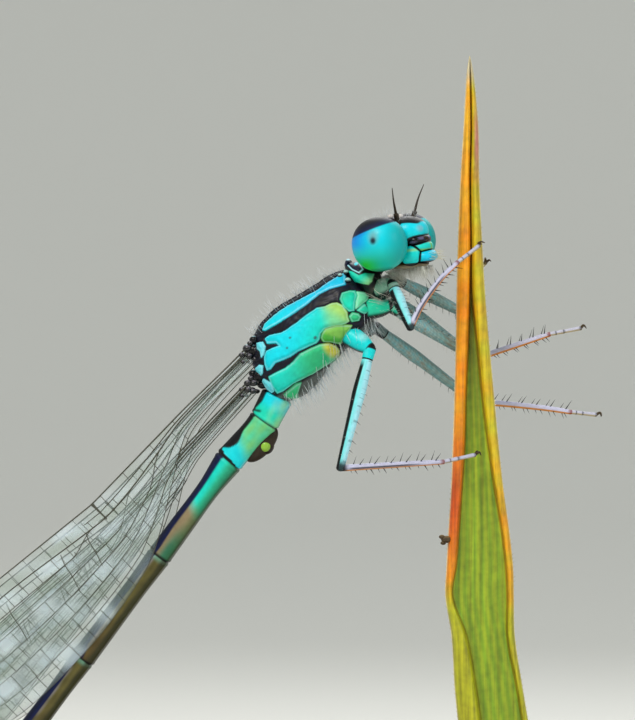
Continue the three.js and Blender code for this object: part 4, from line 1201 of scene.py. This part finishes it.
def shin(name, knee, ankle, claw, bristles, draw):
    """The shin with its four rows of bristles, the foot's joints and its two claws."""
    bm = new_mesh()
    along = (ankle - knee).normalized()
    across = (bristles - along * bristles.dot(along)).normalized()
    side = along.cross(across)
    facing = Vector((0, -1 if name.endswith("right") else 1, 0))
    arch = across * BOW[name] * (ankle - knee).length
    line = [knee, knee.lerp(ankle, 0.3) + arch, knee.lerp(ankle, 0.7) + arch, ankle]
    skin(bm, 90, 28, rod_shape(line, SHIN_RADII, shin_paint(facing, -across)), leg_matrix)
    toe = claw - ankle
    for start, end in zip(TOE_MARKS, TOE_MARKS[1:]):
        joint = [ankle + toe * start, ankle + toe * (end - 0.02)]
        skin(bm, 26, 18, rod_shape(joint, [0.06, 0.07], toe_paint(-across)), leg_matrix)
    toe_way = toe.normalized()
    spread = toe_way.cross(across).normalized()
    tip = ankle + toe * 0.88
    for way in (-1, 1):
        hook = [tip, tip + toe_way * 0.12 + spread * 0.07 * way + across * 0.08,
                tip + toe_way * 0.18 + spread * 0.1 * way - across * 0.03]
        skin(bm, 16, 10, rod_shape(hook, [0.05, 0.035, 0.012], horn_paint), leg_matrix)
    for row in (-1, 1):
        count = 6 if row > 0 else 7
        for way in (-0.5, 0.5):
            for k in range(count):
                t = (k + 0.8 + 0.3 * (way > 0) + draw.uniform(-0.1, 0.1)) / (count + 0.6)
                out = (across * row + side * way).normalized()
                root = knee.lerp(ankle, t) + arch * math.sin(math.pi * t) + out * 0.06
                reach = draw.uniform(0.28, 0.4) if row > 0 else draw.uniform(0.16, 0.26)
                cone(bm, root, (out + along * 0.5).normalized(), reach, 0.02, BLACK, leg_matrix)
    finished(f"shin_{name}", bm, CUTICLE, f"tibia_{name}", slot="leg")


def legs():
    draw = random.Random(11)
    for name, joints in LEGS.items():
        coxa, trochanter, knee, ankle, claw, bristles = map(Vector, joints.values())
        thigh(name, coxa, trochanter, knee, bristles, draw)
        shin(name, knee, ankle, claw, bristles, draw)


# Hairs
PATCH_SIZE = 0.003
HAIR_TILES = 4
ABOVE, BELOW = math.pi / 2, -math.pi / 2


def tile(column, row, u, v):
    """A hair's place on the baking map: each kind of skin has its own tile, unrolled along u and v."""
    return [(place + 0.03 + 0.9 * min(1.0, max(0.0, share))) / HAIR_TILES
            for place, share in ((column, u), (row, v))]


def thorax_hair(bm, draw, turn, s_range, lean, length, thickness, column):
    """A hair rooted in the thorax, turn round it from its left side over its back."""
    s = draw.uniform(*s_range)
    share = (s - SYNTHORAX[0][0]) / (SYNTHORAX[-1][0] - SYNTHORAX[0][0])
    point = synthorax_shape(share, turn % math.tau)[0]
    out = on_thorax(lean + 0.3 * draw.uniform(-1, 1), math.sin(turn), math.cos(turn))
    cone(bm, point, out, draw.uniform(*length), thickness, WHITE, body_matrix, 3,
         tile(column, 0, share, turn % math.tau / math.tau))


def hairs():
    """Fine pale hairs on the thorax's back and belly, on the face and chin, and along the thighs."""
    draw = random.Random(23)
    bm = new_mesh()
    bm.loops.layers.uv.new("OFBake")
    for _ in range(150):
        thorax_hair(bm, draw, ABOVE + draw.gauss(0, 0.3), (-1.6, 2.2), 0.0, (0.25, 0.6), 0.008, 0)
    for _ in range(330):
        thorax_hair(bm, draw, BELOW + draw.gauss(0, 0.42), (-2.0, 1.9), -0.3, (0.3, 0.75), 0.0085, 1)
    for _ in range(420):
        x, y = draw.uniform(-0.1, 1.1), draw.uniform(-0.4, 0.4)
        out = Vector((draw.uniform(-0.1, 0.5), draw.uniform(-0.5, 0.5), -1))
        cone(bm, Vector((x, y, -0.84)), out, draw.uniform(0.2, 0.55), 0.008, mix(CREAM, WHITE, 0.5),
             head_matrix, 3, tile(0, 1, x, y + 0.5))
    for _ in range(420):
        s, left = draw.uniform(2.1, 3.3), draw.gauss(0, 0.3)
        root = on_thorax(s, draw.uniform(-0.25, 0.15), left)
        out = on_thorax(draw.uniform(-0.2, 0.9), -1, draw.uniform(-0.8, 0.8))
        cone(bm, root, out, draw.uniform(0.25, 0.6), 0.009, mix(CREAM, WHITE, 0.4), body_matrix, 3,
             tile(1, 1, s - 2.1, left + 0.5))
    for _ in range(80):
        angle = draw.uniform(0.8, 2.5)
        left = draw.uniform(-0.7, 0.7)
        root = Vector((0.74 * math.cos(angle), left, 0.74 * math.sin(angle)))
        out = Vector((math.cos(angle), 0.3 * draw.uniform(-1, 1), math.sin(angle)))
        cone(bm, root, out, draw.uniform(0.3, 0.62), 0.0075, WHITE, head_matrix, 3,
             tile(2, 1, angle / math.pi, left + 0.5))
    for _ in range(60):
        y, z = draw.uniform(-0.3, 0.3), draw.uniform(-0.62, -0.4)
        out = Vector((1, draw.uniform(-0.4, 0.4), draw.uniform(-0.5, 0.3)))
        cone(bm, Vector((1.3, y, z)), out, draw.uniform(0.15, 0.5), 0.006, CREAM, head_matrix, 3,
             tile(3, 1, y + 0.5, z + 1))
    for number, joints in enumerate(LEGS.values()):
        for first, second, radius, count in (("trochanter", "knee", 0.17, 110),
                                             ("coxa", "trochanter", 0.26, 60)):
            start, end = Vector(joints[first]), Vector(joints[second])
            axis = (end - start).normalized()
            side = axis.cross(Vector((0, 0, 1))).normalized()
            for _ in range(count):
                turn, share = draw.uniform(0, math.tau), draw.uniform(0.02, 0.96)
                out = side * math.cos(turn) + axis.cross(side) * math.sin(turn)
                root = start.lerp(end, share) + out * radius * 0.9
                cone(bm, root, out + axis * 0.4, draw.uniform(0.1, 0.28), 0.006, mix(CREAM, WHITE, 0.5),
                     leg_matrix, 3, tile(number % 4, 2 + number // 4, share, turn / math.tau))
    finished("pale_hairs", bm, HAIR, slot="cuticle")


# Grass blade: rows of height, left and right edges, and the inner edges of its two rolled margins
BLADE = [(-12.97, 4.58, 6.9, 5.35, 6.7), (-11.2, 4.4, 6.6, 5.1, 6.4), (-9.55, 4.3, 6.35, 4.8, 6.1),
         (-8.26, 4.1, 6.32, 4.34, 6.1), (-7.26, 4.14, 6.29, 4.46, 6.05), (-6.0, 4.21, 6.15, 4.56, 5.9),
         (-4.7, 4.29, 5.97, 4.65, 5.68), (-3.4, 4.34, 5.83, 4.73, 5.49), (-1.58, 4.4, 5.66, 4.78, 5.27),
         (0.06, 4.44, 5.51, 4.85, 5.11), (1.55, 4.46, 5.39, 4.9, 4.96), (3.03, 4.5, 5.3, 4.93, 4.94),
         (5.23, 4.59, 5.2, 4.9, 4.91), (6.7, 4.68, 5.18, 4.93, 4.94), (7.8, 4.74, 5.1, 4.92, 4.93),
         (8.7, 4.8, 5.0, 4.9, 4.91), (9.16, 4.88, 4.9, 4.89, 4.89)]
BLADE_DEPTH = 0.4


def blade_paint(z, x, left, right, inner_left, inner_right, open_share):
    """The leaf's colour and roughness: orange rolled margins, with the green leaf between them."""
    high = step(1.0, 8.0, z)
    on_left = x < 0.5 * (inner_left + inner_right)
    ripple = 0.5 + 0.5 * math.sin(2.3 * z + (0 if on_left else 2)) * math.sin(5.1 * z)
    if on_left:
        margin = mix(ORANGE, YELLOW, 0.35 * ripple + 0.35 * high)
        margin = mix(margin, RUST, 0.85 * bump(-5.2, 3.2, z) * step(5.2, 4.3, x) + 0.12 * ripple)
        margin = mix(margin, mix(LEAF_GREEN, YELLOW, 0.35), step(-7.2, -8.8, z) * 0.85)
    else:
        margin = mix(mix(YELLOW, LEAF_GREEN, 0.35), ORANGE, 0.35 * ripple + 0.4 * step(-3.0, -6.0, z))
        margin = mix(margin, mix(RUST, LILAC, 0.25), 0.85 * bump(6.4, 1.7, z) * step(4.98, 5.1, x))
        margin = mix(margin, mix(LEAF_GREEN, YELLOW, 0.3), step(-7.6, -9.2, z) * 0.7)
    margin = mix(margin, mix(CREAM, TAN, 0.3), step(8.0, 8.8, z))
    rib = 0.5 + 0.5 * math.sin(52 * (x - 0.5 * (inner_left + inner_right)) / max(0.4, right - left))
    centre = mix(mix(LEAF_GREEN, YELLOW, 0.32), LEAF_GREEN * 0.85, 0.5 * rib)
    centre = mix(centre, mix(OLIVE, BROWN, 0.3), 0.15 + 0.5 * step(-3.0, 2.0, z))
    colour = mix(margin, centre, open_share)
    lip = max(bump(inner_left, 0.05, x), bump(inner_right, 0.05, x))
    colour = mix(colour, mix(BROWN, RUST, 0.4) * 0.5, lip * 0.6 * step(8.6, 6.0, z))
    edge = max(bump(left, 0.04, x), bump(right, 0.04, x))
    return mix(colour, mix(YELLOW, CREAM, 0.7), edge * 0.8), 0.5


def blade_shape(t, turn):
    """The blade's skin: an open face between two rolled margins, thin where it is narrow."""
    bottom, top = BLADE[0][0], BLADE[-1][0]
    z = bottom + (top - bottom) * min(1.0, max(0.0, (t - 0.004) / 0.996))
    left, right, inner_left, inner_right = flow(BLADE, z)
    across, out = math.cos(turn), math.sin(turn)
    x = 0.5 * (left + right) + 0.5 * (right - left) * across
    depth = BLADE_DEPTH * min(1.0, 0.25 + 0.9 * (right - left))
    open_share = step(inner_left - 0.01, inner_left + 0.05, x)
    open_share *= step(inner_right + 0.01, inner_right - 0.05, x)
    ends = (left, inner_left) if x < 0.5 * (inner_left + inner_right) else (inner_right, right)
    half = max(0.02, 0.5 * (ends[1] - ends[0]))
    roll = math.sqrt(max(0.0, 1 - min(1.0, abs(x - 0.5 * sum(ends)) / half) ** 2.4))
    whole = math.sqrt(max(0.0, 1 - across**2))
    if out < 0:
        y = -depth * roll * (0.3 + 0.7 * whole) * (1 - open_share) + 0.35 * depth * whole * open_share
        y += 0.05 * whole * (1 - roll)
    else:
        y = depth * (0.5 * out + 0.5 * out * abs(across) ** 0.5)
    colour, roughness = blade_paint(z, x, left, right, inner_left, inner_right, open_share)
    if t < 0.002:
        return Vector((0.5 * (left + right), 0.05, z)), colour, roughness
    return Vector((x, y, z)), colour, roughness


# A crumb of husk on the blade's left margin, and its lumps: place from its middle and size
HUSK = Vector((4.13, -0.12, -6.42))
HUSK_LUMPS = [(0, 0, 0, 0.17), (-0.14, -0.03, 0.08, 0.1), (-0.1, 0.0, -0.12, 0.09)]


def husk_paint(unit, point):
    # Dark brown crumb, tan over its top: painted light from above.
    return mix(BROWN * 0.35, TAN, 0.5 * step(0.3, 0.9, unit.z)), 0.7


def blade():
    """The grass blade, with a crumb of husk on its margin and a row of fine teeth along each edge."""
    draw = random.Random(5)
    bm = new_mesh()
    skin(bm, 300, 200, blade_shape, leg_matrix)
    for *place, size in HUSK_LUMPS:
        lump = oval(HUSK + Vector(place), (size, size * 0.8, size * 0.7), husk_paint)
        skin(bm, 16, 18, lump, leg_matrix)
    bottom, top = BLADE[0][0], BLADE[-1][0]
    z = bottom + 0.1
    while z < top - 0.6:
        left, right = flow(BLADE, z)[:2]
        for x, way in ((left, -1), (right, 1)):
            root = Vector((x - 0.02 * way, 0.0, z))
            slant = Vector((0.75 * way, 0, 0.65))
            cone(bm, root, slant, draw.uniform(0.05, 0.1), 0.016, CREAM, leg_matrix)
        z += draw.uniform(0.12, 0.2)
    finished("grass_blade_rolled", bm, LEAF, "perch_grass_blade", slot="leaf")


# Stand, fitted to the boxes of its two nodes
ROD_RADIUS = 0.8 * MM


def turned(bm, profile, centre, steps, weld):
    """A profile of radius and height, turned about an upright axis."""
    verts = [bm.verts.new(centre + Vector((radius, 0, z))) for radius, z in profile]
    edges = [bm.edges.new(pair) for pair in zip(verts, verts[1:])]
    bmesh.ops.spin(bm, geom=verts + edges, cent=centre, axis=(0, 0, 1), angle=math.tau, steps=steps,
                   use_merge=True)
    bmesh.ops.remove_doubles(bm, verts=bm.verts, dist=weld)


def stand_rod():
    """The steel rod with the collar that holds the blade."""
    low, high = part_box("stand_rod")
    centre = Vector(((low[0] + high[0]) / 2, (low[1] + high[1]) / 2, 0))
    collar = (high[0] - low[0]) / 2
    bottom, top = low[2], high[2]
    profile = [(0, bottom), (ROD_RADIUS * 0.9, bottom), (ROD_RADIUS, bottom + 0.1 * MM),
               (ROD_RADIUS, top - 1.7 * MM), (ROD_RADIUS * 1.15, top - 1.5 * MM),
               (collar * 0.96, top - 1.15 * MM), (collar, top - 1.0 * MM), (collar, top - 0.15 * MM),
               (collar * 0.93, top), (0, top)]
    bm = new_mesh()
    turned(bm, profile, centre, 72, 1e-7)
    piece = finished("stand_rod_turned", bm, STEEL, "stand_rod", slot="steel")
    piece.data.set_sharp_from_angle(angle=math.radians(35))


def rounded(bm, edges, radius, segments):
    bmesh.ops.bevel(bm, geom=edges, offset=radius, segments=segments, profile=0.5, affect="EDGES",
                    material=-1)


def stand_base():
    """The wooden plinth, with round corners and a fine soft rim."""
    low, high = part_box("stand_base")
    bm = new_mesh()
    size = Vector(high) - Vector(low)
    centre = (Vector(high) + Vector(low)) / 2
    box = Matrix.Translation(centre) @ Matrix.Diagonal((*size, 1))
    bmesh.ops.create_cube(bm, size=1.0, matrix=box)
    rounded(bm, [edge for edge in bm.edges if abs(edge.verts[0].co.z - edge.verts[1].co.z) > size.z / 2],
            2.6 * MM, 12)
    rounded(bm, [edge for edge in bm.edges if edge.calc_face_angle(0) > 0.8], 0.4 * MM, 5)
    piece = finished("stand_base_plinth", bm, WOOD, "stand_base", slot="wood")
    piece.data.set_sharp_from_angle(angle=math.radians(40))


# Studio
FLOOR_WELD = 1e-6
# The floor's profile in metres: radius and height
FLOOR = [(0.0, 0.0), (0.3, 0.0), (0.5, 0.0), (0.62, 0.012), (0.74, 0.05), (0.86, 0.12), (0.96, 0.22),
         (1.04, 0.36), (1.08, 0.52), (1.1, 0.75)]
# The lights: place in metres, size, power and colour
LIGHTS = {"key": ((-0.07, -0.13, 0.17), 0.07, 0.29, "#FFF9EE"),
          "fill": ((0.2, -0.14, 0.13), 0.14, 0.16, "#EEF5FF"),
          "back": ((0.03, 0.13, 0.13), 0.12, 0.09, "#FFFFFF")}


def camera():
    """The photo's own view, from the side, framed in millimetres at the insect."""
    data = bpy.data.cameras.new("camera")
    data.lens = PHOTO["lens"]
    data.sensor_width = PHOTO["sensor"]
    data.sensor_fit = "VERTICAL"
    data.sensor_height = PHOTO["sensor"]
    data.clip_start = 0.001
    made = bpy.data.objects.new("camera", data)
    tall = PHOTO["height"] * PHOTO["mm_per_pixel"]
    distance = tall * PHOTO["lens"] / PHOTO["sensor"]
    made.location = (PHOTO_CENTRE - Vector((0, distance, 0))) * MM
    made.rotation_euler = (math.radians(90), 0, 0)
    bpy.context.scene.collection.objects.link(made)
    bpy.context.scene.camera = made


def softbox(name, place, size, power, colour):
    """A square soft light that faces the thorax."""
    data = bpy.data.lights.new(name, "AREA")
    data.size = size
    data.energy = power
    data.color = linear(colour)
    made = bpy.data.objects.new(name, data)
    made.location = place
    made.rotation_euler = (THORAX_CENTRE * MM - Vector(place)).to_track_quat("-Z", "Y").to_euler()
    bpy.context.scene.collection.objects.link(made)


def studio():
    """A pale floor that curves up all round, far from the stand, under three soft lights."""
    sweep = bmesh.new()
    turned(sweep, FLOOR, Vector(), 96, FLOOR_WELD)
    bmesh.ops.recalc_face_normals(sweep, faces=sweep.faces)
    for face in sweep.faces:
        face.smooth = True
    mesh = bpy.data.meshes.new("floor")
    sweep.to_mesh(mesh)
    sweep.free()
    floor = bpy.data.objects.new("floor", mesh)
    bpy.context.scene.collection.objects.link(floor)
    pale = material("pale_floor", Base_Color=rgba("#EDEDE8"), Roughness=0.9, Specular_IOR_Level=0.2)[0]
    mesh.materials.append(pale)
    for name, settings in LIGHTS.items():
        softbox(name, *settings)
    world = bpy.data.worlds.new("studio")
    world.use_nodes = True
    sky = world.node_tree.nodes["Background"].inputs
    sky["Color"].default_value = rgba("#EFF2F2")
    sky["Strength"].default_value = 0.66
    bpy.context.scene.world = world
    bpy.context.scene.view_settings.view_transform = "Standard"


camera()
thorax()
prothorax()
head()
eyes()
antennae()
abdomen()
wings()
legs()
hairs()
blade()
stand_rod()
stand_base()
studio()
